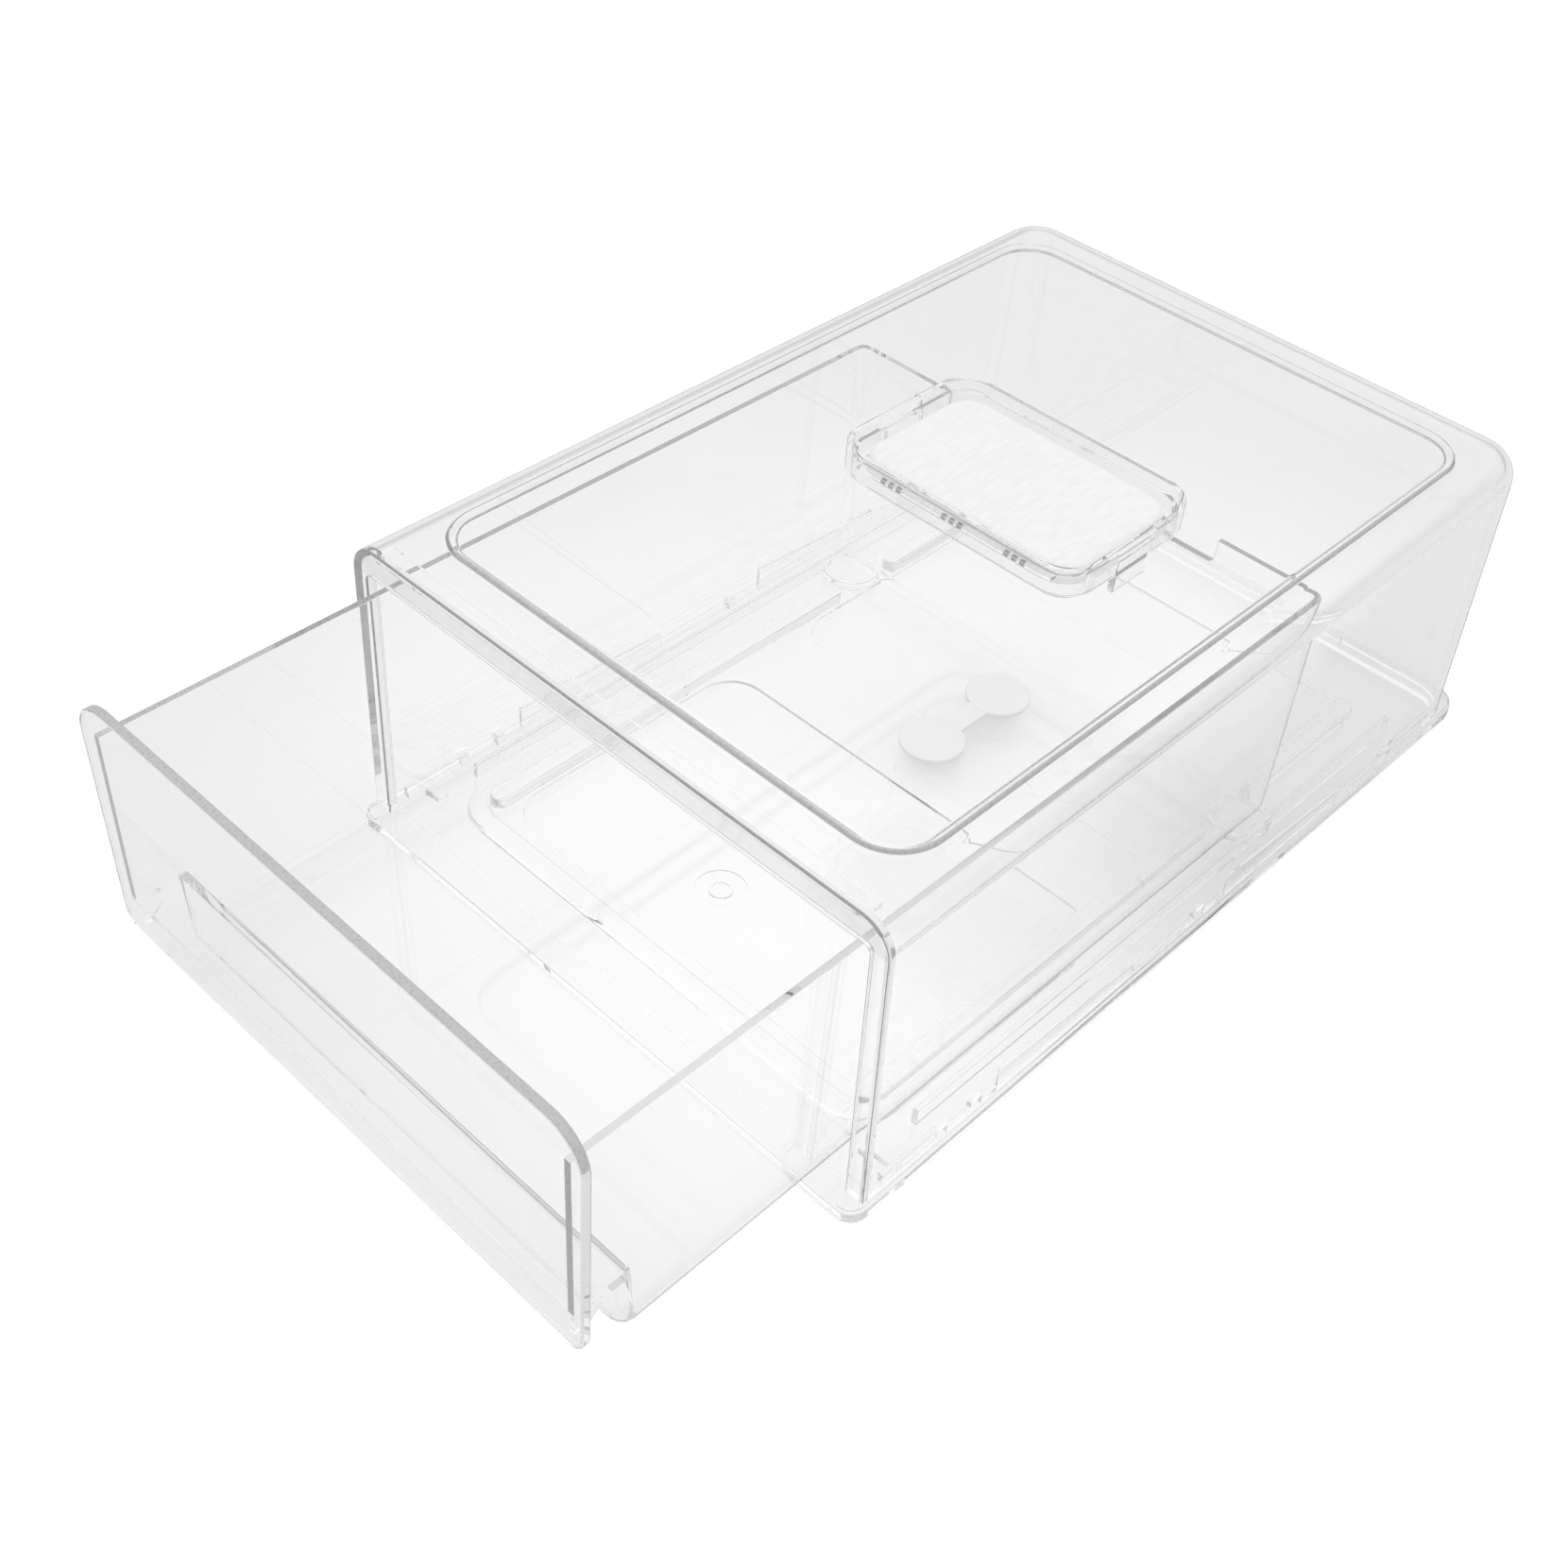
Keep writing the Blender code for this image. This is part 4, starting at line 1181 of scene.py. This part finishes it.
@dataclass
class BaseTray(Moulding):
    """Clear base tray with its lip, sill, rails, bosses, lock tongues and clips."""

    half: float = 0.1083
    front: float = RIM_Y - 0.0060
    back: float = 0.1612
    front_radius: float = 0.0060
    back_radius: float = 0.0120
    sill: float = 0.0042
    rim_top: float = 0.0047
    rim_step: float = 0.0010
    floor: float = 0.0024
    tray_half: float = 0.1017
    tray_front: float = RIM_Y + 0.0035
    tray_back: float = 0.1510
    tray_radius: float = 0.0065
    pocket_x: Span = (-0.0760, 0.0850)
    pocket_spans: tuple[Span, ...] = ((RIM_Y + 0.029, RIM_Y + 0.1315), (0.0088, 0.1263))
    pocket_radius: float = 0.0130
    pocket_depth: float = 0.0009
    pocket_round: float = 0.0007
    step_half: float = 0.0897
    step_width: float = 0.0059
    step_reach: float = RIM_Y + 0.1150
    step_span: Span = (RIM_Y + 0.0165, RIM_Y + 0.0240)
    step_top: float = 0.0050
    step_radius: float = 0.0150
    step_ease: float = 0.0022
    end_share: float = 0.4
    stub_gap: float = 0.0035
    stub_span: Span = (-0.0013, 0.0027)
    stub_round: float = 0.0012
    gap: float = 0.0003
    tray_round: float = 0.0006
    small_round: float = 0.0004
    rail_inner: float = 0.0770
    rail_width: float = 0.0065
    rail_top: float = 0.0068
    rail_round: float = 0.0009
    rail_span: Span = (RIM_Y + 0.027, 0.1258)
    rail_break: float = 0.0140
    boss_x: float = 0.0865
    boss_y: float = 0.0485
    boss_radius: float = 0.0105
    boss_top: float = 0.0056
    boss_round: float = 0.0005
    dish_radius: float = 0.0089
    dish_depth: float = 0.0012
    guide_inner: float = 0.0946
    guide_width: float = 0.0020
    guide_top: float = 0.0090
    guide_round: float = 0.0005
    guide_span: Span = (RIM_Y + 0.032, 0.1258)
    tongue_outer: float = 0.1052
    tongue_thickness: float = 0.0016
    tongue_tops: Span = (0.0130, 0.0090)
    tab_outer: float = 0.1039
    tab_fronts: Span = (RIM_Y + 0.009, 0.1168)
    tab_length: float = 0.0230
    tab_top: float = 0.0082
    rear_half: float = 0.0600
    rear_outer: float = 0.1534
    rear_top: float = 0.0100
    clip_width: float = 0.0030
    clip_top: float = 0.0085
    clip_outer: float = 0.1055
    clip_inset: float = 0.0002

    def plate(self, name: str, inset: float, low: float, high: float) -> Piece:
        """Add a plate on the tray's outline, with smaller corners at the front.

        Args:
            name: Name of the plate.
            inset: Distance inside the outline.
            low: Lowest level.
            high: Highest level.

        Returns:
            The plate.
        """
        back = self.back - inset
        near, far = self.front_radius - inset, self.back_radius - inset
        piece = slab(name, self.half - inset, (self.front + inset, back), (low, high))
        round_edges(piece, lambda spot: spot.along(Z) and spot.middle.y < 0, near, steps=8)
        round_edges(piece, running(Z, Y, back), far, steps=12)
        return piece

    def shape(self) -> Piece:
        """Build the tray.

        Returns:
            The tray's mesh.
        """
        tray = self.plate("tray", 0.0, 0.0, self.sill)
        round_edges(
            tray, lambda spot: spot.near(Z, 0.0) or spot.near(Z, self.sill), self.tray_round, 3
        )
        lip = self.plate("lip", self.rim_step, FUSE, self.rim_top)
        round_level(lip, self.rim_top, self.small_round)
        join(tray, lip)
        half, over = self.tray_half, self.rim_top + OVERRUN
        space = slab("space", half, (self.tray_front, self.tray_back), (self.floor, over))
        round_edges(space, running(Z, Y, self.tray_back), self.tray_radius, steps=8)
        mouth = (self.front - OVERRUN, self.tray_front + OVERRUN)
        cut(tray, space, slab("mouth", half, mouth, (self.sill, over)))
        low = self.floor - self.pocket_depth
        for depth in self.pocket_spans:
            pocket = block("pocket", self.pocket_x, depth, (low, self.floor + OVERRUN))
            with_corners(pocket, self.pocket_radius, steps=10)
            round_level(pocket, low, self.pocket_round, steps=4)
            cut(tray, pocket)
        foot = self.floor - FUSE
        self.add_ridge(tray, low - FUSE)
        self.add_rails(tray, low - FUSE)
        self.add_bosses(tray, low - FUSE)
        self.add_sides(tray, foot)
        rear = (self.rear_outer - self.tongue_thickness, self.rear_outer)
        join(tray, slab("rear_tongue", self.rear_half, rear, (foot, self.rear_top)))
        return tray

    def add_ridge(self, tray: Piece, foot: float) -> None:
        """Join the soft ridge behind the sill, which turns along both sides, and its stubs.

        Args:
            tray: The tray.
            foot: Lowest level of what is joined.
        """
        front, back = self.step_span
        half, width, reach = self.step_half, self.step_width, self.step_reach
        outer_turn, inner_turn = self.step_radius, self.step_radius - width
        ridge = slab("ridge", half, (front, reach), (foot, self.step_top))
        round_edges(ridge, running(Z, Y, front), outer_turn, steps=12)
        levels = (foot - OVERRUN, self.step_top + OVERRUN)
        inner = slab("inner", half - width, (back, reach + OVERRUN), levels)
        round_edges(inner, running(Z, Y, back), inner_turn, steps=8)
        cut(ridge, inner)
        round_edges(ridge, running(Z, Y, reach), width * self.end_share, steps=5)
        round_level(ridge, self.step_top, self.step_ease, steps=6)
        join(tray, ridge)
        across = (half + self.stub_gap, self.tray_half - self.gap)
        depth = tuple(front + place for place in self.stub_span)
        stub = block("stub", across, depth, (foot, self.step_top))
        round_edges(stub, running(X, Z, self.step_top), self.stub_round, steps=4)
        join(tray, *both_sides(stub))

    def add_rails(self, tray: Piece, foot: float) -> None:
        """Join the two broken rails that carry the drawer.

        Args:
            tray: The tray.
            foot: Lowest level of what is joined.
        """
        front, back = self.rail_span
        front_end, back_start = around(self.boss_y, self.rail_break)
        across = (self.rail_inner, self.rail_inner + self.rail_width)
        for depth in ((front, front_end), (back_start, back)):
            rail = block("rail", across, depth, (foot, self.rail_top))
            with_corners(rail, self.rail_width / 2 - self.gap, steps=6)
            round_level(rail, self.rail_top, self.rail_round, steps=4)
            join(tray, *both_sides(rail))

    def add_bosses(self, tray: Piece, foot: float) -> None:
        """Join the two round dished bosses.

        Args:
            tray: The tray.
            foot: Lowest level of what is joined.
        """
        place = (self.boss_x, self.boss_y)
        boss = disc("boss", place, self.boss_radius, (foot, self.boss_top))
        round_level(boss, self.boss_top, self.boss_round)
        join(tray, *both_sides(boss))
        low = self.boss_top - self.dish_depth
        dish = disc("dish", place, self.dish_radius, (low, self.boss_top + OVERRUN))
        round_level(dish, low, self.boss_round)
        cut(tray, *both_sides(dish))

    def add_sides(self, tray: Piece, foot: float) -> None:
        """Join the guide ribs, lock tongues, corner tabs and clips.

        Args:
            tray: The tray.
            foot: Lowest level of what is joined.
        """
        across = (self.guide_inner, self.guide_inner + self.guide_width)
        guide = block("guide", across, self.guide_span, (foot, self.guide_top))
        round_level(guide, self.guide_top, self.guide_round)
        join(tray, *both_sides(guide))
        across = (self.tongue_outer - self.tongue_thickness, self.tongue_outer)
        start, next_start = TONGUE_FRONTS
        first = wedge("tongue", across, (start, start + TONGUE_LENGTH), foot, self.tongue_tops)
        least = (foot + self.tongue_tops[1]) / 2
        round_edges(
            first, lambda spot: spot.middle.z > least and not spot.along(Z), self.small_round, 3
        )
        second = copy_to(first, (0, next_start - start, 0))
        join(tray, *both_sides(first), *both_sides(second))
        inner = self.tab_outer - self.tongue_thickness
        start, next_start = self.tab_fronts
        depth = (start, start + self.tab_length)
        tab = block("tab", (inner, self.tab_outer), depth, (foot, self.tab_top))
        round_level(tab, self.tab_top, self.small_round)
        rear = copy_to(tab, (0, next_start - start, 0))
        join(tray, *both_sides(tab), *both_sides(rear))
        start = CLIP_PLACES[0]
        clip = block(
            "clip", (inner + self.clip_inset, self.clip_outer),
            around(start, self.clip_width / 2), (self.rim_top - FUSE, self.clip_top),
        )
        for place in CLIP_PLACES[1:]:
            join(tray, *both_sides(copy_to(clip, (0, place - start, 0))))
        join(tray, *both_sides(clip))


@dataclass
class Drawer(Moulding):
    """Clear drawer with high sides, a finger shelf, a notched back and drain holes."""

    half: float = 0.0938
    face: float = -0.2444
    riser: float = -0.2302
    back: float = 0.0520
    bottom: float = 0.0071
    floor: float = 0.0095
    top: float = 0.0970
    wall: float = 0.0022
    edge_radius: float = 0.0085
    corner_radius: float = 0.0040
    riser_radius: float = 0.0040
    least_radius: float = 0.0015
    top_round: float = 0.0003
    shelf_top: float = 0.0360
    shelf_thickness: float = 0.0024
    notch_half: float = 0.05605
    notch_depth: float = 0.0085
    notch_radius: float = 0.0020
    hole_radius: float = 0.0073
    gate_y: float = RIM_Y + 0.0510
    gate_radius: float = 0.0085
    hub_radius: float = 0.0039
    gate_depth: float = 0.0004
    hub_wall: float = 0.0009
    gusset_outer: float = 0.0926
    gusset_thickness: float = 0.0018
    gusset_depth: float = 0.0075
    gusset_drop: float = 0.0080
    gusset_inset: float = 0.0010

    def skin(
        self, name: str, inset: float, front: float, low: float, step: float, high: float
    ) -> Piece:
        """Add the solid of the drawer's box with its raised shelf, or of the space inside it.

        Args:
            name: Name of the solid.
            inset: Distance inside the outer face.
            front: Front plane above the shelf.
            low: Lowest level.
            step: Level of the shelf's underside, or of its top for the inner space.
            high: Highest level.

        Returns:
            The solid.
        """
        half, riser, back = self.half - inset, self.riser + inset, self.back - inset
        edge = self.edge_radius - inset
        corner, turn = (
            max(radius - inset, self.least_radius)
            for radius in (self.corner_radius, self.riser_radius)
        )
        piece = slab(name, half, (front, back), (low, high))
        cut(piece, slab("step", half + OVERRUN, (front - OVERRUN, riser), (low - OVERRUN, step)))
        round_edges(piece, running(Y, Z, low), edge, steps=8)
        round_edges(piece, at_except(Y, back, Z, high), corner, steps=6)
        round_edges(piece, at_except(Y, riser, Z, step), turn, steps=6)
        return piece

    def shape(self) -> Piece:
        """Build the drawer.

        Returns:
            The drawer's mesh.
        """
        shelf_low, over = self.shelf_top - self.shelf_thickness, self.top + OVERRUN
        drawer = self.skin("drawer", 0.0, self.face, self.bottom, shelf_low, self.top)
        front = self.face - OVERRUN
        cut(drawer, self.skin("space", self.wall, front, self.floor, self.shelf_top, over))
        low = self.top - self.notch_depth
        depth = (self.back - self.wall - OVERRUN, self.back + OVERRUN)
        notch = slab("notch", self.notch_half, depth, (low, over))
        round_edges(notch, running(Y, Z, low), self.notch_radius, steps=5)
        cut(drawer, notch)
        round_level(drawer, self.top, self.top_round, steps=2)
        first, second = DRAIN_PLACES
        through = (self.bottom - OVERRUN, self.floor + OVERRUN)
        hole = disc("hole", (0, first), self.hole_radius, through)
        twin = copy_to(hole, (0, second - first, 0))
        cut(drawer, hole, twin)
        self.add_gate(drawer)
        self.add_gussets(drawer, shelf_low)
        split_faces(drawer, lambda spot: spot.fronts(self.face), self.shelf_top)
        return drawer

    def painted_shade_faces(self) -> dict[PaintedShade, Test]:
        """Return the ends of the walls that stand against the front panel, which are painted dark
        as shade.
        """
        return {PaintedShade.END: lambda spot: spot.fronts(self.face) and spot.middle.z > self.shelf_top}

    def add_gate(self, drawer: Piece) -> None:
        """Sink the round moulding gate mark into the floor.

        Args:
            drawer: The drawer.
        """
        place, depth, over = (0, self.gate_y), self.gate_depth, self.floor + OVERRUN
        low, dimple = self.floor - depth, self.hub_radius - self.hub_wall
        cut(drawer, disc("gate", place, self.gate_radius, (low, over)))
        hub = (low - FUSE, self.floor + depth)
        join(drawer, disc("hub", place, self.hub_radius, hub, sides=32))
        cut(drawer, disc("dimple", place, dimple, (self.floor - depth / 2, over), sides=32))

    def add_gussets(self, drawer: Piece, shelf_low: float) -> None:
        """Join the small plates under the shelf's ends.

        Args:
            drawer: The drawer.
            shelf_low: Underside of the shelf.
        """
        low = shelf_low - self.gusset_drop
        back = self.face + self.gusset_depth
        across = (self.gusset_outer - self.gusset_thickness, self.gusset_outer)
        depth = (self.face + self.gusset_inset, back)
        gusset = block("gusset", across, depth, (low, shelf_low + FUSE))
        round_edges(
            gusset, lambda spot: spot.along(X) and spot.near(Y, back) and spot.near(Z, low),
            self.gusset_depth / 2, steps=1,
        )
        join(drawer, *both_sides(gusset))


@dataclass
class FrontPanel(Moulding):
    """Flat clear front panel that hangs below the shelf as a finger pull."""

    front: float = -0.2477
    back: float = -0.2447
    half_top: float = 0.0993
    half_foot: float = 0.0977
    foot: float = 0.0237
    top: float = 0.1087
    top_radius: float = 0.0130
    foot_radius: float = 0.0055
    edge_radius: float = 0.0007
    edge_turn: Span = (0.8, 0.2)

    def shape(self) -> Piece:
        """Build the panel.

        Returns:
            The panel's mesh.
        """
        foot, top = self.foot, self.top
        panel = slab("panel", self.half_top, (self.front, self.back), (foot, top))
        narrow = self.half_foot / self.half_top
        scale_faces(panel, at(Z, foot), (narrow, 1, 1), (0, 0, foot))
        for level, radius, steps in ((top, self.top_radius, 14), (foot, self.foot_radius, 10)):
            round_edges(panel, running(Y, Z, level), radius, steps)
        round_edges(panel, lambda spot: not spot.along(Y), self.edge_radius, steps=4)
        return panel

    def painted_shade_faces(self) -> dict[PaintedShade, Test]:
        """Return the panel's top edge, with the upper part of its corners, which are painted grey
        as shade.
        """
        most, least = self.edge_turn
        return {PaintedShade.EDGE: lambda spot: abs(spot.line.y) < most and spot.line.z > least}


@dataclass
class CartridgeCup(Moulding):
    """Clear cup that snaps up into the collar, with vents and two spring tabs."""

    y: float = 0.0172
    half: Span = (0.04565, 0.0297)
    radius: float = 0.0099
    wall: float = 0.0014
    bottom: float = 0.0972
    bottom_round: float = 0.0013
    floor: float = 0.0016
    top: float = 0.1061
    tab_width: float = 0.0160
    tab_thickness: float = 0.0016
    tab_span: Span = (0.0925, 0.1040)
    tab_round: float = 0.0004
    vent_y: float = RIM_Y + 0.1500
    vent_pitch: float = 0.0031
    vent_group_pitch: float = 0.0245
    vent_size: Span = (0.0022, 0.0014)
    ledge_half: float = 0.0380
    ledge_back: float = RIM_Y + 0.1465
    ledge_span: Span = (0.1028, 0.1038)
    slot_y: float = RIM_Y + 0.1453
    slot_size: Span = (0.0016, 0.0010)
    foot_reach: float = 0.0016
    foot_turn: Span = (0.05, 0.98)

    def box(self, name: str, inset: float, levels: Span) -> Piece:
        """Add the block of the cup, or of the space inside it.

        Args:
            name: Name of the block.
            inset: Distance inside the outer face.
            levels: Lowest and highest level.

        Returns:
            The block.
        """
        half_x, half_y = (half - inset for half in self.half)
        piece = slab(name, half_x, around(self.y, half_y), levels)
        return with_corners(piece, self.radius - inset, steps=10)

    def shape(self) -> Piece:
        """Build the cup.

        Returns:
            The cup's mesh.
        """
        half_x, half_y = self.half
        floor_top = self.bottom + self.floor
        cup = self.box("cup", 0.0, (self.bottom, self.top))
        round_level(cup, self.bottom, self.bottom_round, steps=5)
        cut(cup, self.box("cup_space", self.wall, (floor_top, self.top + OVERRUN)))
        end = half_x + self.tab_thickness
        tab = block("tab", (half_x - FUSE, end), around(self.y, self.tab_width / 2), self.tab_span)
        round_edges(tab, at(X, end), self.tab_round, steps=3)
        join(cup, *both_sides(tab))
        ledge = (self.y - half_y + self.wall / 2, self.ledge_back)
        join(cup, slab("ledge", self.ledge_half, ledge, self.ledge_span))
        low, high = self.ledge_span
        through = (self.bottom - OVERRUN, floor_top + self.floor)
        self.cut_vents(cup, self.vent_size, self.vent_y, through)
        self.cut_vents(cup, self.slot_size, self.slot_y, (low - FUSE, high + OVERRUN))
        return cup

    def painted_shade_faces(self) -> dict[PaintedShade, Test]:
        """Return the rounded outer edge of the cup's floor, painted grey as shade, and the walls
        of the upper vents, painted dark as shade.
        """
        return {PaintedShade.EDGE: self.on_foot, PaintedShade.END: self.in_vent}

    def on_foot(self, spot: Spot) -> bool:
        """Tell whether a face is on the rounded outer edge of the cup's floor.

        Args:
            spot: Place of the face.

        Returns:
            Whether it is.
        """
        half_x, half_y = (half - self.foot_reach for half in self.half)
        out = abs(spot.middle.x) > half_x or abs(spot.middle.y - self.y) > half_y
        least, most = self.foot_turn
        low = spot.middle.z < self.bottom + self.foot_reach
        return out and low and least < abs(spot.line.z) < most

    def in_vent(self, spot: Spot) -> bool:
        """Tell whether a face is inside a vent of the ledge.

        Args:
            spot: Place of the face.

        Returns:
            Whether it is.
        """
        low, high = self.ledge_span
        inside = abs(spot.middle.y - self.slot_y) < self.slot_size[1] / 2 + TINY
        return inside and low + TINY < spot.middle.z < high - TINY

    def cut_vents(self, cup: Piece, size: Span, row: float, levels: Span) -> None:
        """Cut three groups of small vents in a row.

        Args:
            cup: The cup.
            size: Length and width of one vent.
            row: Place of the row from front to back.
            levels: Lowest and highest level of the cut.
        """
        length, width = size
        vent = slab("vent", length / 2, around(row, width / 2), levels)
        for group in (-1, 0, 1):
            for step in (-1, 0, 1):
                place = group * self.vent_group_pitch + step * self.vent_pitch
                cut(cup, copy_to(vent, (place, 0, 0)))
        alone(vent)
        bpy.ops.object.delete()


@dataclass
class AbsorberPad(Moulding):
    """Soft white pad of the freshness cartridge."""

    y: float = 0.0183
    half: Span = (0.0425, 0.0266)
    radius: float = 0.0100
    low: float = 0.0991
    high: float = 0.1052
    edge: float = 0.0028
    crown: float = 0.0002
    rises: tuple[float, ...] = (0.40, 0.30, 0.20, 0.10)
    ring: float = 0.0015
    crisp: float = 50.0

    def shape(self) -> Piece:
        """Build the pad, with a slight crown and softly rolled edges.

        Returns:
            The pad's mesh.
        """
        half_x, half_y = self.half
        pad = slab("pad", half_x, around(self.y, half_y), (self.low, self.high))
        with_corners(pad, self.radius, steps=8)
        round_level(pad, self.high, self.edge, steps=8)
        round_level(pad, self.low, self.edge / 2, steps=4)
        for rise in self.rises:
            with chosen(pad, self.on_crown, faces=True):
                bpy.ops.mesh.inset(thickness=self.ring, depth=self.crown * rise)
        return pad

    def on_crown(self, spot: Spot) -> bool:
        """Tell whether a face is the middle of the pad's top."""
        reach = self.ring
        return spot.line.z > SQUARE and spot.near(X, 0.0, reach) and spot.near(Y, self.y, reach)

    def dress(self, piece: Piece) -> None:
        """Args:
            piece: The shaped pad.
        """
        alone(piece)
        bpy.ops.object.shade_smooth_by_angle(angle=math.radians(self.crisp))
        piece.data.materials.append(self.material)


@dataclass
class DrainStopper(Moulding):
    """Soft double plug in the drawer's floor."""

    radius: float = 0.01125
    low: float = 0.0098
    thickness: float = 0.0016
    stem_radius: float = 0.0070
    stem_low: float = 0.0061
    strap_half: float = 0.00375
    strap_drop: float = 0.0004
    top_round: float = 0.0005
    foot_round: float = 0.0003

    def shape(self) -> Piece:
        """Build the stopper.

        Returns:
            The stopper's mesh.
        """
        high = self.low + self.thickness
        first, second = DRAIN_PLACES
        apart = (0, second - first, 0)
        stopper = disc("stopper", (0, first), self.radius, (self.low, high))
        round_level(stopper, high, self.top_round, steps=4)
        round_level(stopper, self.low, self.foot_round, steps=2)
        join(stopper, copy_to(stopper, apart))
        strap = (self.low, high - self.strap_drop)
        join(stopper, slab("strap", self.strap_half, DRAIN_PLACES, strap))
        plug = (self.stem_low, self.low + self.thickness / 2)
        stem = disc("stem", (0, first), self.stem_radius, plug, sides=40)
        join(stopper, copy_to(stem, apart), stem)
        return stopper


# Studio


@dataclass
class Studio:
    """White floor, with a painted glow and a painted shadow seen through the clear walls, under an
    even pale sky.
    """

    floor_size: float = 8.0
    floor_level: float = -0.0003
    lowest_sky: float = 0.0
    high_sky: float = 0.8
    horizon: float = 0.55
    zenith: float = 1.15

    def build(self) -> None:
        """Lay the floor and set the light, which the camera sees as plain white."""
        bpy.ops.object.select_all(action="DESELECT")
        bpy.ops.mesh.primitive_plane_add(size=self.floor_size, location=(0, 0, self.floor_level))
        floor = settle("studio_floor")
        floor.data.materials.append(StudioFloor("studio_floor").make())
        world = bpy.data.worlds.new("studio_light")
        world.use_nodes = True
        bpy.context.scene.world = world
        bench = NodeBench(world.node_tree)
        split = bench.add("ShaderNodeSeparateXYZ")
        bench.link(bench.add("ShaderNodeTexCoord").outputs["Generated"], split.inputs[0])
        heights, levels = (self.lowest_sky, self.high_sky), (self.horizon, self.zenith)
        sky = bench.ramp(split.outputs["Z"], heights, levels, smooth=False)
        light = world.node_tree.nodes["Background"]
        light.inputs["Color"].default_value = (1, 1, 1, 1)
        bench.link(bench.seen(sky, 1.0), light.inputs["Strength"])
        LOG.info("studio ready")


@dataclass
class Viewpoint:
    """Camera of the photograph's view."""

    azimuth: float = 41.06
    elevation: float = 43.12
    roll: float = 4.6
    lens: float = 45.846
    place: Point = (0.29249, -0.41443, 0.45502)
    film: float = 36.0
    nearest: float = 0.01

    def build(self) -> None:
        """Create the camera and make it the scene's."""
        turn, lift, roll = (math.radians(v) for v in (self.azimuth, self.elevation, self.roll))
        reach = math.cos(lift)
        back = Vector((math.sin(turn) * reach, -math.cos(turn) * reach, math.sin(lift)))
        level = Vector((math.cos(turn), math.sin(turn), 0))
        up = level.cross(-back)
        across = level * math.cos(roll) + up * math.sin(roll)
        above = up * math.cos(roll) - level * math.sin(roll)
        data = bpy.data.cameras.new("viewpoint")
        data.lens = self.lens
        data.sensor_width = self.film
        data.clip_start = self.nearest
        camera = bpy.data.objects.new("viewpoint", data)
        bpy.context.scene.collection.objects.link(camera)
        pose = Matrix((across, above, back)).transposed().to_4x4()
        pose.translation = Vector(self.place)
        camera.matrix_world = pose
        bpy.context.scene.camera = camera


def set_render_look() -> None:
    """Set the plain view transform and enough bounces for stacked clear walls."""
    scene = bpy.context.scene
    scene.view_settings.view_transform = "Standard"
    for name, count in BOUNCES.items():
        setattr(scene.cycles, name, count)


def main() -> None:
    """Build every piece in order."""
    logging.basicConfig(level=logging.INFO, format="%(name)s: %(message)s")
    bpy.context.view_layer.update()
    Viewpoint().build()
    set_render_look()
    Studio().build()
    clear = ClearPlastic("clear_plastic_wall").make()
    shell = ClearPlastic("clear_plastic_hood", echo_painted_shade=(0.96, 0.96, 0.96)).make()
    # Painted shade: light grey edges, grey rims and dark wall ends.
    edge = PaintedEdgeShade("painted_edge_shade").make()
    rim = PaintedEdgeShade("painted_rim_shade", (0.34, 0.34, 0.34)).make()
    end = PaintedEdgeShade("painted_end_shade", (0.16, 0.16, 0.16)).make()
    # Painted shade: clear plastic tinted grey for the band over the opening and its sides.
    band = ClearPlastic("painted_band_shade", (0.80, 0.80, 0.80)).make()
    # Painted shade materials for each kind of place.
    grey = {PaintedShade.EDGE: edge, PaintedShade.RIM: rim, PaintedShade.END: end, PaintedShade.BAND: band}
    silicone = SoftSilicone("soft_silicone").make()
    fibre = PressedFibre("pressed_fibre").make()
    BaseTray("clear_tray", "base_tray", Body.CASE, "clear_plastic", clear).make()
    Hood("clear_hood", "case_shell", Body.CASE, "clear_plastic", shell, grey).make()
    CartridgeCup("clear_cup", "cartridge_cup", Body.CASE, "clear_plastic", clear, grey).make()
    AbsorberPad("fibre_pad", "absorber_pad", Body.CASE, "absorber", fibre).make()
    Drawer("clear_drawer", "drawer_body", Body.DRAWER, "clear_plastic", clear, grey).make()
    FrontPanel("clear_front", "front_panel", Body.DRAWER, "clear_plastic", clear, grey).make()
    DrainStopper("soft_stopper", "drain_stopper", Body.DRAWER, "silicone", silicone).make()


if __name__ == "__main__":
    main()
